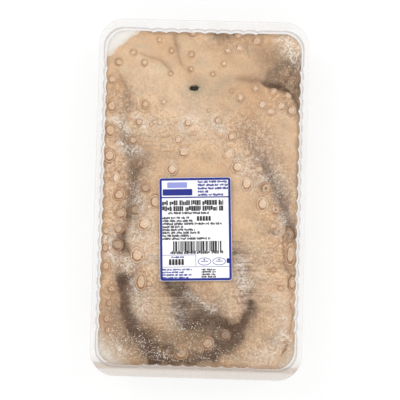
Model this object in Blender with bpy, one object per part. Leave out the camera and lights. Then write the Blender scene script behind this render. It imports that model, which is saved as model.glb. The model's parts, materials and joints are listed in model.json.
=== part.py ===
"""Whole frozen octopus, mouth side up, pressed into a clear fluted tray with a lidding film and a label.

Units are metres, +Z up. The origin is on the table, under the middle of the tray; +Y runs towards the mouth.
Lengths in the tables below are in millimetres, and MM turns them into metres.
"""

import math
import random

import bmesh
import bpy
from mathutils import Vector, geometry

MM = 0.001

# Tray: a thin shell with a flat base, drafted fluted walls, a rounded shoulder and a flat flange.
TRAY_HALF_X = 76.5
TRAY_HALF_Y = 130.0
FLANGE_CORNER_RADIUS = 18.0
FLANGE_TOP = 31.0
FLANGE_THICKNESS = 0.8
WALL_HALF_X = 71.2
WALL_HALF_Y = 121.9
WALL_CORNER_RADIUS = 14.0
FLUTE_PITCH = 9.4
FLUTE_DEPTH = 1.4
FLUTES_LONG_SIDE = 20
FLUTES_SHORT_SIDE = 8

# Heights and how far the inner wall stands in from its top line there; the outer wall is one skin outside it.
BASE_TOP, BASE_INSET = 0.8, 5.2
WALL_FOOT, WALL_FOOT_INSET = 4.0, 2.6
WALL_TOP, WALL_TOP_INSET = 28.8, 0.0
SHOULDER_INSET = -2.0
SKIN = 0.8

# What lies in and on the tray.
GAP = 0.4
FLESH_EDGE = 27.9
FLESH_CROWN = 2.0
ICE_TOP = 27.4
FILM_THICKNESS = 0.3
LABEL_THICKNESS = 0.3
LABEL_SIZE = (52.3, 75.0)
LABEL_CENTRE = (-2.6, -22.5)
LABEL_TURN = math.radians(2.3)
LABEL_CORNER_RADIUS = 2.0

# Clear ice fills three corners. Each is cut off by the line between two points, and the flesh bulges over it.
ICE_CORNERS = {
    "ice_top_left": ((-71.0, 101.0), (-45.5, 122.0), 0.6),
    "ice_bottom_left": ((-46.0, -122.0), (-71.0, -94.0), 0.4),
    "ice_bottom_right": ((71.0, -100.0), (56.0, -122.0), 1.6),
}
CHORD_STEPS = 5

# Folds where the arms press together: depth, half width, and the points that the fold runs through.
FOLDS = [
    (0.7, 2.2, [(-47, 105), (-37, 102), (-28, 97), (-22, 91)]),
    (1.0, 3.0, [(-21, 118), (-19, 108), (-16, 97), (-9, 91)]),
    (0.7, 3.0, [(15, 119), (8, 108)]),
    (0.8, 2.2, [(27, 121), (31, 112), (33, 104)]),
    (3.0, 3.2, [(25, 88), (38, 88), (50, 84), (60, 81), (68, 71)]),
    (1.3, 3.0, [(57, 84), (62, 91), (66, 98)]),
    (1.4, 3.0, [(-62, 93), (-57, 82), (-53, 71), (-55, 62)]),
    (1.0, 3.0, [(-60, 38), (-44, 36), (-28, 38)]),
    (3.0, 3.2, [(-44, 24), (-49, 2), (-53, -14), (-56, -28), (-54, -36), (-57, -46), (-54, -62)]),
    (3.0, 3.2, [(-54, -62), (-53, -80), (-50, -93), (-40, -103), (-33, -116)]),
    (3.0, 3.0, [(-12, -61), (-5, -68), (10, -80), (20, -90), (31, -91), (37, -82), (38, -74)]),
    (2.6, 4.5, [(-30, -112), (-10, -117), (15, -113), (28, -105), (36, -95)]),
    (1.6, 3.0, [(-22, -66), (-14, -76), (-4, -86), (8, -88)]),
    (2.0, 3.6, [(29, 48), (37, 42), (43, 30), (52, 15), (59, 2), (63, -10), (68, -26)]),
    (0.8, 3.0, [(15, 68), (28, 61), (40, 60)]),
    (1.3, 2.4, [(62, -30), (62, -46), (67, -54), (66, -62), (68, -72), (68, -90), (65, -104)]),
]

# Rows of suckers. Each has how many suckers stand between two stated ones, then x, y and diameter.
SUCKER_ROWS = [
    (1, [(-66.5, 85, 5.8), (-66.3, 47.5, 8.7), (-61.6, 13, 7.3), (-57.5, -12, 8), (-59, -35, 7.3)]),
    (1, [(-66.5, -25, 5), (-66.6, -51, 6)]),
    (2, [(-62.7, -68, 4.7), (-64.7, -97, 4.4)]),
    (1, [(-41.9, 67.3, 4.4), (-49.5, 41, 5.8)]),
    (0, [(-45.4, 25.2, 7.3), (-39.7, 6.4, 7.3), (-47.5, -9.5, 6.9)]),
    (0, [(-28.5, 69.7, 3.6), (-34.5, 54.9, 4.4)]),
    (0, [(-10.3, 54.7, 5.1), (-17.1, 42.1, 5.1), (-12.7, 33.5, 7.3), (-20.8, 20.6, 8)]),
    (0, [(-33.4, -3.1, 8.7), (-40.2, -19.2, 9.5), (-45.1, -42.1, 9.5), (-42.1, -60.5, 10)]),
    (0, [(11.5, 56.8, 5.8), (13.4, 48.5, 6.9), (19.9, 32.7, 8), (26.2, 23.4, 8.7), (33.7, 11.5, 9.1)]),
    (0, [(21.4, 45.4, 6.9), (42, 22.1, 5.8), (48.2, 8.7, 8.4)]),
    (0, [(46.2, -3.2, 8.7), (55.5, -6.4, 5.1)]),
    (0, [(64.2, -24.7, 8), (65, -39.5, 9), (61, -63.6, 4.4), (54.8, -50.5, 3.6)]),
    (0, [(26.9, 74, 5.1), (43.4, 69.9, 6.2), (49.9, 64.9, 6.4), (57.1, 68.8, 5.8), (64.5, 65, 6.5)]),
    (1, [(38.2, 81.3, 5.1), (62.5, 76.1, 5.5)]),
    (0, [(14.6, 98.9, 3.6), (17.4, 108.9, 4.4), (25.6, 110.5, 5.8), (38.3, 117, 5.8)]),
    (0, [(6.9, 91.1, 3.6), (-9.3, 94.6, 3.3), (-9.2, 105.1, 4.4)]),
    (0, [(-24.6, 90.6, 2.5), (-23.9, 107.6, 4.4), (-33, 115.7, 3.6)]),
    (1, [(-43.4, 98.2, 4.4), (-62.2, 98.2, 5.8)]),
    (0, [(-26.8, -111.3, 5.1), (-10.6, -112.1, 9), (8.3, -104.6, 9.5), (21.1, -98.2, 8.7)]),
]
SUCKER_RIM_AT = 0.7
SUCKER_RIM_HEIGHT = 0.6
SUCKER_CUP_DEPTH = 0.9

MOUTH_CENTRE = (-6.5, 80.5)
MOUTH_HALF = (3.6, 2.2)
MOUTH_DEPTH = 4.0

FOLD_STEP = 4.2
FILL_SPACING = 6.6
LEAST_SPACING = 2.0
EDGE_CLEAR = 1.8
SEED = 7


def clear_scene():
    for item in list(bpy.data.objects):
        bpy.data.objects.remove(item, do_unlink=True)


def make_material(name, color, roughness, metallic=0.0):
    material = bpy.data.materials.new(name)
    material.use_nodes = True
    shader = material.node_tree.nodes["Principled BSDF"]
    shader.inputs["Base Color"].default_value = (*color, 1.0)
    shader.inputs["Roughness"].default_value = roughness
    shader.inputs["Metallic"].default_value = metallic
    material.diffuse_color = (*color, 1.0)
    return material


def add_object(name, bm, material, smooth_angle=None):
    """Turns a bmesh drawn in millimetres into a named object in metres."""
    bmesh.ops.recalc_face_normals(bm, faces=bm.faces)
    bmesh.ops.scale(bm, vec=(MM, MM, MM), verts=bm.verts)
    mesh = bpy.data.meshes.new(name)
    bm.to_mesh(mesh)
    bm.free()
    mesh.materials.append(material)
    if smooth_angle is not None:
        mesh.shade_smooth()
        mesh.set_sharp_from_angle(angle=math.radians(smooth_angle))
    part = bpy.data.objects.new(name, mesh)
    bpy.context.scene.collection.objects.link(part)
    return part


# ---- outlines ----


def corner_arc(centre_x, centre_y, radius, start_deg, steps):
    """Points of a quarter circle, anticlockwise, both ends included."""
    angles = [math.radians(start_deg + 90.0 * i / steps) for i in range(steps + 1)]
    return [(centre_x + radius * math.cos(a), centre_y + radius * math.sin(a)) for a in angles]


def rounded_rectangle(half_x, half_y, radius, steps):
    inner_x, inner_y = half_x - radius, half_y - radius
    corners = [(inner_x, inner_y, 0), (-inner_x, inner_y, 90), (-inner_x, -inner_y, 180), (inner_x, -inner_y, 270)]
    points = []
    for x, y, start_deg in corners:
        points += corner_arc(x, y, radius, start_deg, steps)
    return points


def flute_stations(count):
    """Places along a fluted side and how far in the wall stands there: a narrow cusp, then a wide bulge."""
    half_length = count * FLUTE_PITCH / 2
    stations = [(-half_length - FLUTE_PITCH / 3, 0.0)]
    for step in range(3 * count + 1):
        in_cusp = FLUTE_DEPTH * (1 - math.sin(math.pi * (step % 3) / 3) ** 0.7)
        stations.append((step * FLUTE_PITCH / 3 - half_length, in_cusp))
    stations.append((half_length + FLUTE_PITCH / 3, 0.0))
    return stations


def fluted_outline():
    """The line of the inner wall at its top, anticlockwise from the foot of the right side."""
    long_side = flute_stations(FLUTES_LONG_SIDE)
    short_side = flute_stations(FLUTES_SHORT_SIDE)
    radius = WALL_CORNER_RADIUS
    mid_x, mid_y = WALL_HALF_X - radius, WALL_HALF_Y - radius
    points = [(WALL_HALF_X - depth, place) for place, depth in long_side]
    points += corner_arc(mid_x, mid_y, radius, 0, 6)
    points += [(-place, WALL_HALF_Y - depth) for place, depth in short_side]
    points += corner_arc(-mid_x, mid_y, radius, 90, 6)
    points += [(depth - WALL_HALF_X, -place) for place, depth in long_side]
    points += corner_arc(-mid_x, -mid_y, radius, 180, 6)
    points += [(place, depth - WALL_HALF_Y) for place, depth in short_side]
    points += corner_arc(mid_x, -mid_y, radius, 270, 6)
    return points


def inset_outline(points, inset):
    """Draws an outline in from the wall's top line. Every outline shrinks the same way, so the flutes line up."""
    scale_x = 1 - inset / WALL_HALF_X
    scale_y = 1 - inset / WALL_HALF_Y
    return [(x * scale_x, y * scale_y) for x, y in points]


def wall_inset(height):
    """How far the inner wall stands in from its top line at this height."""
    if height < WALL_FOOT:
        low, high = (BASE_TOP, BASE_INSET), (WALL_FOOT, WALL_FOOT_INSET)
    else:
        low, high = (WALL_FOOT, WALL_FOOT_INSET), (WALL_TOP, WALL_TOP_INSET)
    share = (height - low[0]) / (high[0] - low[0])
    return low[1] + share * (high[1] - low[1])


def outward_normal(start, end):
    """The unit normal of a corner's cut line that points away from the middle of the tray."""
    along = Vector(end) - Vector(start)
    normal = Vector((along.y, -along.x)).normalized()
    return normal if normal.dot(Vector(start)) > 0 else -normal


def clip_outline(points, corner, shift, keep_corner):
    """Cuts an outline along a corner's line, moved out by shift, and bows the cut over the flesh's bulge."""
    start, end, bulge = corner
    normal = outward_normal(start, end)
    offset = normal.dot(Vector(start)) + shift
    sign = 1 if keep_corner else -1
    kept = []
    for i, point in enumerate(points):
        here = Vector(point)
        after = Vector(points[(i + 1) % len(points)])
        side_here = sign * (normal.dot(here) - offset)
        side_after = sign * (normal.dot(after) - offset)
        if side_here > 0:
            kept.append(tuple(here))
        if (side_here > 0) != (side_after > 0):
            share = side_here / (side_here - side_after)
            kept.append(tuple(here.lerp(after, share)))
            if side_here > 0:
                chord_start = len(kept)
    first, last = Vector(kept[chord_start - 1]), Vector(kept[chord_start % len(kept)])
    bow = []
    for step in range(1, CHORD_STEPS):
        share = step / CHORD_STEPS
        bow.append(tuple(first.lerp(last, share) + normal * bulge * math.sin(math.pi * share)))
    return kept[:chord_start] + bow + kept[chord_start:]


def add_ring(bm, points, height):
    return [bm.verts.new((x, y, height)) for x, y in points]


def ring_edges(bm, ring):
    edges = []
    for i, vert in enumerate(ring):
        other = ring[(i + 1) % len(ring)]
        edges.append(bm.edges.get((vert, other)) or bm.edges.new((vert, other)))
    return edges


def bridge(bm, lower, upper):
    for i in range(len(lower)):
        j = (i + 1) % len(lower)
        bm.faces.new((lower[i], lower[j], upper[j], upper[i]))


# ---- tray, film and label ----


def build_tray(material):
    """Two skins of rings from the base up, joined by the flange's flat top, rim and underside."""
    bm = bmesh.new()
    outline = fluted_outline()
    inner_levels = [(BASE_TOP, BASE_INSET), (WALL_FOOT, WALL_FOOT_INSET), (WALL_TOP, WALL_TOP_INSET)]
    inner_levels.append((FLANGE_TOP, SHOULDER_INSET))
    outer_levels = [(0.0, BASE_INSET - 0.3 * SKIN)]
    outer_levels += [(height - SKIN / 2, inset - SKIN) for height, inset in inner_levels[1:3]]
    outer_levels.append((FLANGE_TOP - FLANGE_THICKNESS, SHOULDER_INSET - SKIN / 2))
    inner = [add_ring(bm, inset_outline(outline, inset), height) for height, inset in inner_levels]
    outer = [add_ring(bm, inset_outline(outline, inset), height) for height, inset in outer_levels]
    for skin in (inner, outer):
        for lower, upper in zip(skin, skin[1:]):
            bridge(bm, lower, upper)
        bm.faces.new(skin[0])
    rim_outline = rounded_rectangle(TRAY_HALF_X, TRAY_HALF_Y, FLANGE_CORNER_RADIUS, 7)
    rim_top = add_ring(bm, rim_outline, FLANGE_TOP)
    rim_foot = add_ring(bm, rim_outline, FLANGE_TOP - FLANGE_THICKNESS)
    bridge(bm, rim_foot, rim_top)
    for rim, skin in ((rim_top, inner), (rim_foot, outer)):
        edges = ring_edges(bm, rim) + ring_edges(bm, skin[-1])
        bmesh.ops.triangle_fill(bm, use_beauty=True, edges=edges)
    return add_object("tray", bm, material, smooth_angle=30)


def add_plate(bm, points, bottom, thickness):
    face = bm.faces.new(add_ring(bm, points, bottom))
    raised = bmesh.ops.extrude_face_region(bm, geom=[face])["geom"]
    verts = [item for item in raised if isinstance(item, bmesh.types.BMVert)]
    bmesh.ops.translate(bm, vec=(0, 0, thickness), verts=verts)


def build_film(material):
    bm = bmesh.new()
    outline = rounded_rectangle(TRAY_HALF_X - GAP, TRAY_HALF_Y - GAP, FLANGE_CORNER_RADIUS - GAP, 7)
    add_plate(bm, outline, FLANGE_TOP + 0.3, FILM_THICKNESS)
    return add_object("lid_film", bm, material)


def build_label(material):
    bm = bmesh.new()
    outline = rounded_rectangle(LABEL_SIZE[0] / 2, LABEL_SIZE[1] / 2, LABEL_CORNER_RADIUS, 4)
    add_plate(bm, outline, 0.0, LABEL_THICKNESS)
    label = add_object("label", bm, material)
    label.location = (LABEL_CENTRE[0] * MM, LABEL_CENTRE[1] * MM, (FLANGE_TOP + 0.6 + FILM_THICKNESS) * MM)
    label.rotation_euler = (0, 0, LABEL_TURN)
    return label


# ---- octopus ----


def smooth_path(points, step):
    """Points at about this step along a smooth curve through the given points."""
    knots = [Vector(point) for point in points]
    knots = [2 * knots[0] - knots[1]] + knots + [2 * knots[-1] - knots[-2]]
    path = []
    for a, b, c, d in zip(knots, knots[1:], knots[2:], knots[3:]):
        count = max(1, round((c - b).length / step))
        for i in range(count):
            t = i / count
            path.append(0.5 * (2 * b + (c - a) * t + (2 * a - 5 * b + 4 * c - d) * t**2 + (3 * b - a - 3 * c + d) * t**3))
    path.append(knots[-2])
    return path


def distance_to_path(point, path):
    nearest = math.inf
    for start, end in zip(path, path[1:]):
        along = end - start
        share = max(0.0, min(1.0, (point - start).dot(along) / along.length_squared))
        nearest = min(nearest, (point - start - along * share).length)
    return nearest


def list_suckers():
    """Every sucker as its centre and radius: the stated ones, and those spread evenly between them."""
    suckers = []
    for between, stated in SUCKER_ROWS:
        for first, second in zip(stated, stated[1:]):
            for step in range(between + 1):
                x, y, diameter = Vector(first).lerp(Vector(second), step / (between + 1))
                suckers.append((Vector((x, y)), diameter / 2))
        x, y, diameter = stated[-1]
        suckers.append((Vector((x, y)), diameter / 2))
    return suckers


def sucker_profile(share):
    """Height over the arm from a sucker's middle (0) to its edge (1): a cup inside a raised rim."""
    if share < SUCKER_RIM_AT:
        rise = (share / SUCKER_RIM_AT) ** 2
        return -SUCKER_CUP_DEPTH + rise * (SUCKER_CUP_DEPTH + SUCKER_RIM_HEIGHT)
    return SUCKER_RIM_HEIGHT * (1 - share) / (1 - SUCKER_RIM_AT)


def flesh_height(point, fold_paths, suckers):
    """The pressed top of the octopus: a flat crown, folds between the arms, suckers and the mouth."""
    crown = (1 - (point.x / WALL_HALF_X) ** 4) * (1 - (point.y / WALL_HALF_Y) ** 6)
    height = FLESH_EDGE + FLESH_CROWN * max(0.0, crown)
    for depth, half_width, path in fold_paths:
        away = distance_to_path(point, path) / half_width
        height -= depth * (0.7 * math.exp(-(away**2)) + 0.3 * math.exp(-away / 2))
    for centre, radius in suckers:
        share = (point - centre).length / radius
        if share < 1.001:
            height += sucker_profile(min(share, 1.0))
    mouth_x = (point.x - MOUTH_CENTRE[0]) / MOUTH_HALF[0]
    mouth_y = (point.y - MOUTH_CENTRE[1]) / MOUTH_HALF[1]
    mouth = 1 - mouth_x**2 - mouth_y**2
    return height - MOUTH_DEPTH * math.sqrt(max(0.0, mouth))


def feature_points(fold_paths, suckers):
    """Points that the top's shape needs, the most important first."""
    points = []
    for centre, radius in suckers:
        count = 8 if radius > 2.4 else 6
        points.append((centre, 0.0))
        for share in (SUCKER_RIM_AT, 1.0):
            for i in range(count):
                angle = 2 * math.pi * (i + share) / count
                points.append((centre + radius * share * Vector((math.cos(angle), math.sin(angle))), 0.9))
    points.append((Vector(MOUTH_CENTRE), 0.0))
    for share in (0.6, 1.0):
        for i in range(10):
            angle = 2 * math.pi * i / 10
            offset = Vector((MOUTH_HALF[0] * math.cos(angle), MOUTH_HALF[1] * math.sin(angle)))
            points.append((Vector(MOUTH_CENTRE) + offset * share, 0.5))
    for _, _, path in fold_paths:
        points += [(point, LEAST_SPACING) for point in path]
    for _, half_width, path in fold_paths:
        for start, end in zip(path, path[1:]):
            along = (end - start).normalized()
            side = Vector((-along.y, along.x)) * half_width
            middle = (start + end) / 2
            points += [(middle + side, LEAST_SPACING), (middle - side, LEAST_SPACING)]
    return points


def fill_points(rng):
    """A loose triangular grid over the whole top, for the stretches between the features."""
    points = []
    rows = int(2 * WALL_HALF_Y / (FILL_SPACING * 0.87))
    columns = int(2 * WALL_HALF_X / FILL_SPACING)
    for row in range(rows):
        for column in range(columns):
            x = -WALL_HALF_X + (column + 0.5 * (row % 2)) * FILL_SPACING + rng.uniform(-1, 1)
            y = -WALL_HALF_Y + row * FILL_SPACING * 0.87 + rng.uniform(-1, 1)
            points.append((Vector((x, y)), 0.55 * FILL_SPACING))
    return points


def is_inside(point, outline):
    inside = False
    for start, end in zip(outline, outline[1:] + outline[:1]):
        if (start[1] > point.y) != (end[1] > point.y):
            crossing = start[0] + (point.y - start[1]) * (end[0] - start[0]) / (end[1] - start[1])
            if crossing > point.x:
                inside = not inside
    return inside


def flesh_outline():
    outline = fluted_outline()
    for corner in ICE_CORNERS.values():
        outline = clip_outline(outline, corner, -GAP / 2, keep_corner=False)
    return outline


def build_octopus(material):
    """Triangulates the top over its features, then carries its edge down the wall and closes the base."""
    fold_paths = [(depth, width, smooth_path(points, FOLD_STEP)) for depth, width, points in FOLDS]
    suckers = list_suckers()
    top_inset = wall_inset(FLESH_EDGE - 3) + GAP
    edge = inset_outline(flesh_outline(), top_inset)
    shrunk = inset_outline(edge, EDGE_CLEAR)
    kept = []
    for point, spacing in feature_points(fold_paths, suckers) + fill_points(random.Random(SEED)):
        if not is_inside(point, shrunk):
            continue
        if all((point - other).length > spacing for other in kept):
            kept.append(point)
    coordinates = [Vector(point) for point in edge] + kept
    face = list(range(len(edge)))
    flat_points, _, triangles, _, _, _ = geometry.delaunay_2d_cdt(coordinates, [], [face], 1, 1e-5)

    bm = bmesh.new()
    top = [bm.verts.new((point.x, point.y, flesh_height(point, fold_paths, suckers))) for point in flat_points]
    for corners in triangles:
        bm.faces.new([top[i] for i in corners])
    rim = [line for line in bm.edges if line.is_boundary]
    last_inset = top_inset
    for height in (WALL_FOOT + GAP, BASE_TOP + GAP):
        inset = wall_inset(height - GAP / 2) + GAP
        made = bmesh.ops.extrude_edge_only(bm, edges=rim)["geom"]
        rim = [item for item in made if isinstance(item, bmesh.types.BMEdge)]
        scale_x = (WALL_HALF_X - inset) / (WALL_HALF_X - last_inset)
        scale_y = (WALL_HALF_Y - inset) / (WALL_HALF_Y - last_inset)
        for item in made:
            if isinstance(item, bmesh.types.BMVert):
                item.co = (item.co.x * scale_x, item.co.y * scale_y, height)
        last_inset = inset
    bmesh.ops.contextual_create(bm, geom=rim)
    return add_object("octopus", bm, material, smooth_angle=40)


def build_ice(name, corner, material):
    """A corner of clear ice between the cut flesh and the tray's rounded corner."""
    bm = bmesh.new()
    outline = clip_outline(fluted_outline(), corner, GAP / 2, keep_corner=True)
    rings = []
    for height in (BASE_TOP + GAP, WALL_FOOT + GAP, ICE_TOP):
        inset = wall_inset(height - GAP / 2) + GAP
        rings.append(add_ring(bm, inset_outline(outline, inset), height))
    for lower, upper in zip(rings, rings[1:]):
        bridge(bm, lower, upper)
    bm.faces.new(rings[0])
    bm.faces.new(rings[-1])
    return add_object(name, bm, material, smooth_angle=30)


def main():
    clear_scene()
    clear_plastic = make_material("clear_plastic", (0.93, 0.92, 0.88), 0.18)
    film = make_material("film", (0.95, 0.95, 0.95), 0.1)
    flesh = make_material("flesh", (0.70, 0.49, 0.34), 0.45)
    ice = make_material("ice", (0.86, 0.80, 0.73), 0.3)
    paper = make_material("label_paper", (0.88, 0.89, 0.92), 0.6)
    build_tray(clear_plastic)
    build_octopus(flesh)
    for name, corner in ICE_CORNERS.items():
        build_ice(name, corner, ice)
    build_film(film)
    build_label(paper)


main()
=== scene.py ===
import json
import math
import random

import bmesh
import bpy
import numpy as np
from mathutils import Matrix, Vector

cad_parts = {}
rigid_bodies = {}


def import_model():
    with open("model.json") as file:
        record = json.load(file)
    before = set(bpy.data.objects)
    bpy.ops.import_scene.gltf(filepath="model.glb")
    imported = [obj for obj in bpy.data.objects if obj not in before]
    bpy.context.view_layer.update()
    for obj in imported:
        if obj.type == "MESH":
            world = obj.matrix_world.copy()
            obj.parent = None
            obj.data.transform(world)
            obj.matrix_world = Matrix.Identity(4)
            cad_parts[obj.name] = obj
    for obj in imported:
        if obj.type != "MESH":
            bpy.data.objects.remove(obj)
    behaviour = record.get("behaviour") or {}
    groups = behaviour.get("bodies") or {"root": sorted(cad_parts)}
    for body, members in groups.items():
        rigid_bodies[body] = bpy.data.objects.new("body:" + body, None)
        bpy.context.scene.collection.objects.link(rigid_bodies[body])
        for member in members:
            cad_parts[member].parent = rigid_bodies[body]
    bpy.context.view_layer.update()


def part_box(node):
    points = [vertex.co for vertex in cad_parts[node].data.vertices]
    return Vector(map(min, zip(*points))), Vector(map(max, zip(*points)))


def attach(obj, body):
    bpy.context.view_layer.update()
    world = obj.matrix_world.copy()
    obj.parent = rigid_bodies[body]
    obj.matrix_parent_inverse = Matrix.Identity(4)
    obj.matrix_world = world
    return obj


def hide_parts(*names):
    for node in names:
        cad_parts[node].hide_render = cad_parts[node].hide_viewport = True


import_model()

mm = 0.001
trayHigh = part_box("tray")[1]
filmLow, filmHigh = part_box("lid_film")
labelLow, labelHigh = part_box("label")

# The frozen block takes the tray's form, so both are drawn from these sizes, in millimetres.
pack = {
    "wallHalfX": 71.2,
    "wallHalfY": 121.9,
    "cornerRadius": 14.0,
    "flutePitch": 9.4,
    "fluteDepth": 1.4,
    "flutesLong": 20,
    "flutesShort": 8,
    "baseTop": 0.8,
    "baseInset": 5.2,
    "footHeight": 4.0,
    "footInset": 2.6,
    "wallTop": 28.8,
    "shoulderInset": -2.0,
}
# Where glaze ice cuts off a corner of the flesh: two points of the cut and how far it bows out.
iceCuts = {
    "ice_top_left": ((-71.0, 101.0), (-45.5, 122.0), 0.6),
    "ice_bottom_left": ((-46.0, -122.0), (-71.0, -94.0), 0.4),
    "ice_bottom_right": ((71.0, -100.0), (56.0, -122.0), 1.6),
}


class Wire:
    # a node socket that can be used in Python expressions
    def __init__(self, tree, socket):
        self.tree = tree
        self.socket = socket

    def add(self, kind, inputs, out=0, **settings):
        # any node: inputs by name or index, other settings by keyword
        node = self.tree.nodes.new(kind)
        for key, value in settings.items():
            setattr(node, key, value)
        for key, value in inputs.items():
            if isinstance(value, Wire):
                self.tree.links.new(value.socket, node.inputs[key])
            else:
                node.inputs[key].default_value = value
        return Wire(self.tree, node.outputs[out])

    def isVector(self):
        return self.socket.type in ("VECTOR", "RGBA")

    def maths(self, operation, first, second):
        wires = [term for term in (first, second) if isinstance(term, Wire)]
        tuples = [term for term in (first, second) if isinstance(term, tuple)]
        if tuples or any(wire.isVector() for wire in wires):
            terms = (term if isinstance(term, (Wire, tuple)) else (term,) * 3 for term in (first, second))
            return self.add("ShaderNodeVectorMath", dict(enumerate(terms)), operation=operation)
        return self.add("ShaderNodeMath", {0: first, 1: second}, operation=operation)

    def __add__(self, other):
        return self.maths("ADD", self, other)

    def __radd__(self, other):
        return self.maths("ADD", other, self)

    def __sub__(self, other):
        return self.maths("SUBTRACT", self, other)

    def __rsub__(self, other):
        return self.maths("SUBTRACT", other, self)

    def __mul__(self, other):
        return self.maths("MULTIPLY", self, other)

    def __rmul__(self, other):
        return self.maths("MULTIPLY", other, self)

    def __truediv__(self, other):
        return self.maths("DIVIDE", self, other)

    def size(self):
        # the value without its sign
        return self.add("ShaderNodeMath", {0: self}, operation="ABSOLUTE")

    def clamp(self):
        return self.add("ShaderNodeMath", {0: self, 1: 0.0}, operation="ADD", use_clamp=True)

    def rise(self, low, high):
        # 0 below low, 1 above high, smooth between; low may be the larger
        inputs = {"Value": self, "From Min": low, "From Max": high}
        return self.add("ShaderNodeMapRange", inputs, interpolation_type="SMOOTHSTEP")

    def mix(self, other, share):
        # this colour turning into the other one
        inputs = {0: share, 6: self, 7: rgba(other)}
        return self.add("ShaderNodeMix", inputs, out=2, data_type="RGBA")

    def noise(self, scale, detail=3.0, rough=0.55, stretch=None, warp=0.0):
        where = self * stretch if stretch else self
        inputs = {"Vector": where, "Scale": scale, "Detail": detail, "Roughness": rough, "Distortion": warp}
        return self.add("ShaderNodeTexNoise", inputs)

    def cells(self, scale):
        return self.add("ShaderNodeTexVoronoi", {"Vector": self, "Scale": scale})

    def bump(self, strength, distance, onto=None):
        inputs = {"Height": self, "Strength": strength, "Distance": distance}
        if onto:
            inputs["Normal"] = onto
        return self.add("ShaderNodeBump", inputs)


def rgba(color):
    return color if isinstance(color, Wire) else (*color, 1.0)


class Finish:
    # a material whose Principled shader is filled from expressions
    def __init__(self, name, **constants):
        self.material = bpy.data.materials.new(name)
        self.material.use_nodes = True
        self.tree = self.material.node_tree
        self.shader = self.tree.nodes["Principled BSDF"]
        for key, value in constants.items():
            self.shader.inputs[key.replace("_", " ")].default_value = value
        coordinates = self.tree.nodes.new("ShaderNodeTexCoord")
        self.place = Wire(self.tree, coordinates.outputs["Object"])

    def color(self, color):
        # a constant colour as a wire, to start an expression from
        node = self.tree.nodes.new("ShaderNodeRGB")
        node.outputs[0].default_value = rgba(color)
        return Wire(self.tree, node.outputs[0])

    def mask(self, name):
        node = self.tree.nodes.new("ShaderNodeAttribute")
        node.attribute_name = name
        return Wire(self.tree, node.outputs["Fac"])

    def set(self, **wires):
        for key, wire in wires.items():
            self.tree.links.new(wire.socket, self.shader.inputs[key.replace("_", " ")])
        return self.material


def makePiece(name, bm, material, smooth=True, scale=mm):
    # turns a bmesh drawn in millimetres into a piece that rides on the pack
    bmesh.ops.scale(bm, vec=(scale, scale, scale), verts=bm.verts)
    mesh = bpy.data.meshes.new(name)
    bm.to_mesh(mesh)
    bm.free()
    if smooth:
        mesh.shade_smooth()
    mesh.materials.append(material)
    piece = bpy.data.objects.new(name, mesh)
    bpy.context.scene.collection.objects.link(piece)
    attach(piece, "root")
    return piece


def vertsOf(made):
    return [item for item in made["geom"] if isinstance(item, bmesh.types.BMVert)]


def edgesOf(made):
    return [item for item in made["geom"] if isinstance(item, bmesh.types.BMEdge)]


def smoothPath(points, step=1.5):
    # points at about this step along a smooth curve through the given ones
    knots = np.array(points, float)
    knots = np.vstack([2 * knots[0] - knots[1], knots, 2 * knots[-1] - knots[-2]])
    path = []
    for a, b, c, d in zip(knots, knots[1:], knots[2:], knots[3:]):
        count = max(1, round(float(np.linalg.norm(c - b)) / step))
        for t in np.arange(count) / count:
            curve = 2 * b + (c - a) * t + (2 * a - 5 * b + 4 * c - d) * t**2
            path.append(0.5 * (curve + (3 * b - a - 3 * c + d) * t**3))
    path.append(knots[-2])
    return np.array(path)


def distanceTo(points, where):
    # distance of every place (n, 2) to the curve through the points; one point is a spot
    if len(points) == 1:
        return np.hypot(where[:, 0] - points[0][0], where[:, 1] - points[0][1])
    path = smoothPath(points, 3.0)
    nearest = np.full(len(where), 1e9)
    for start, end in zip(path, path[1:]):
        along = end - start
        share = np.clip(((where - start) @ along) / (along @ along), 0, 1)
        away = where - start - share[:, None] * along
        nearest = np.minimum(nearest, np.hypot(away[:, 0], away[:, 1]))
    return nearest


def wobble(where, size, seed):
    # smooth seeded unevenness from -1 to 1: a sum of sine waves that cross at odd angles
    rng = np.random.default_rng(seed)
    total = np.zeros(len(where))
    for _ in range(7):
        angle, phase = rng.uniform(0, 2 * math.pi, 2)
        wave = 2 * math.pi / (size * rng.uniform(0.6, 1.7))
        total += np.sin((where[:, 0] * math.cos(angle) + where[:, 1] * math.sin(angle)) * wave + phase)
    return total / 3.5


def smoothstep(low, high, value):
    t = np.clip((value - low) / (high - low), 0, 1)
    return t * t * (3 - 2 * t)


def fluteInset(place, count):
    # how far in a fluted wall stands at this place along its side: wide bulges between narrow cusps
    half = count * pack["flutePitch"] / 2
    phase = (place + half) / pack["flutePitch"]
    inset = pack["fluteDepth"] * (1 - np.abs(np.sin(np.pi * phase)) ** 0.6)
    fade = np.clip(1 - (np.abs(place) - half) / 1.5, 0, 1)
    return np.where(np.abs(place) < half + 0.01, inset, inset * fade)


def wallInset(height):
    # how far in the leaning wall stands at this height
    levels = [0.0, pack["baseTop"], pack["footHeight"], pack["wallTop"], 31.0]
    insets = [5.9, pack["baseInset"], pack["footInset"], 0.0, pack["shoulderInset"]]
    return np.interp(height, levels, insets)


def squeezed(x, y, inset):
    return x * (1 - inset / pack["wallHalfX"]), y * (1 - inset / pack["wallHalfY"])


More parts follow.
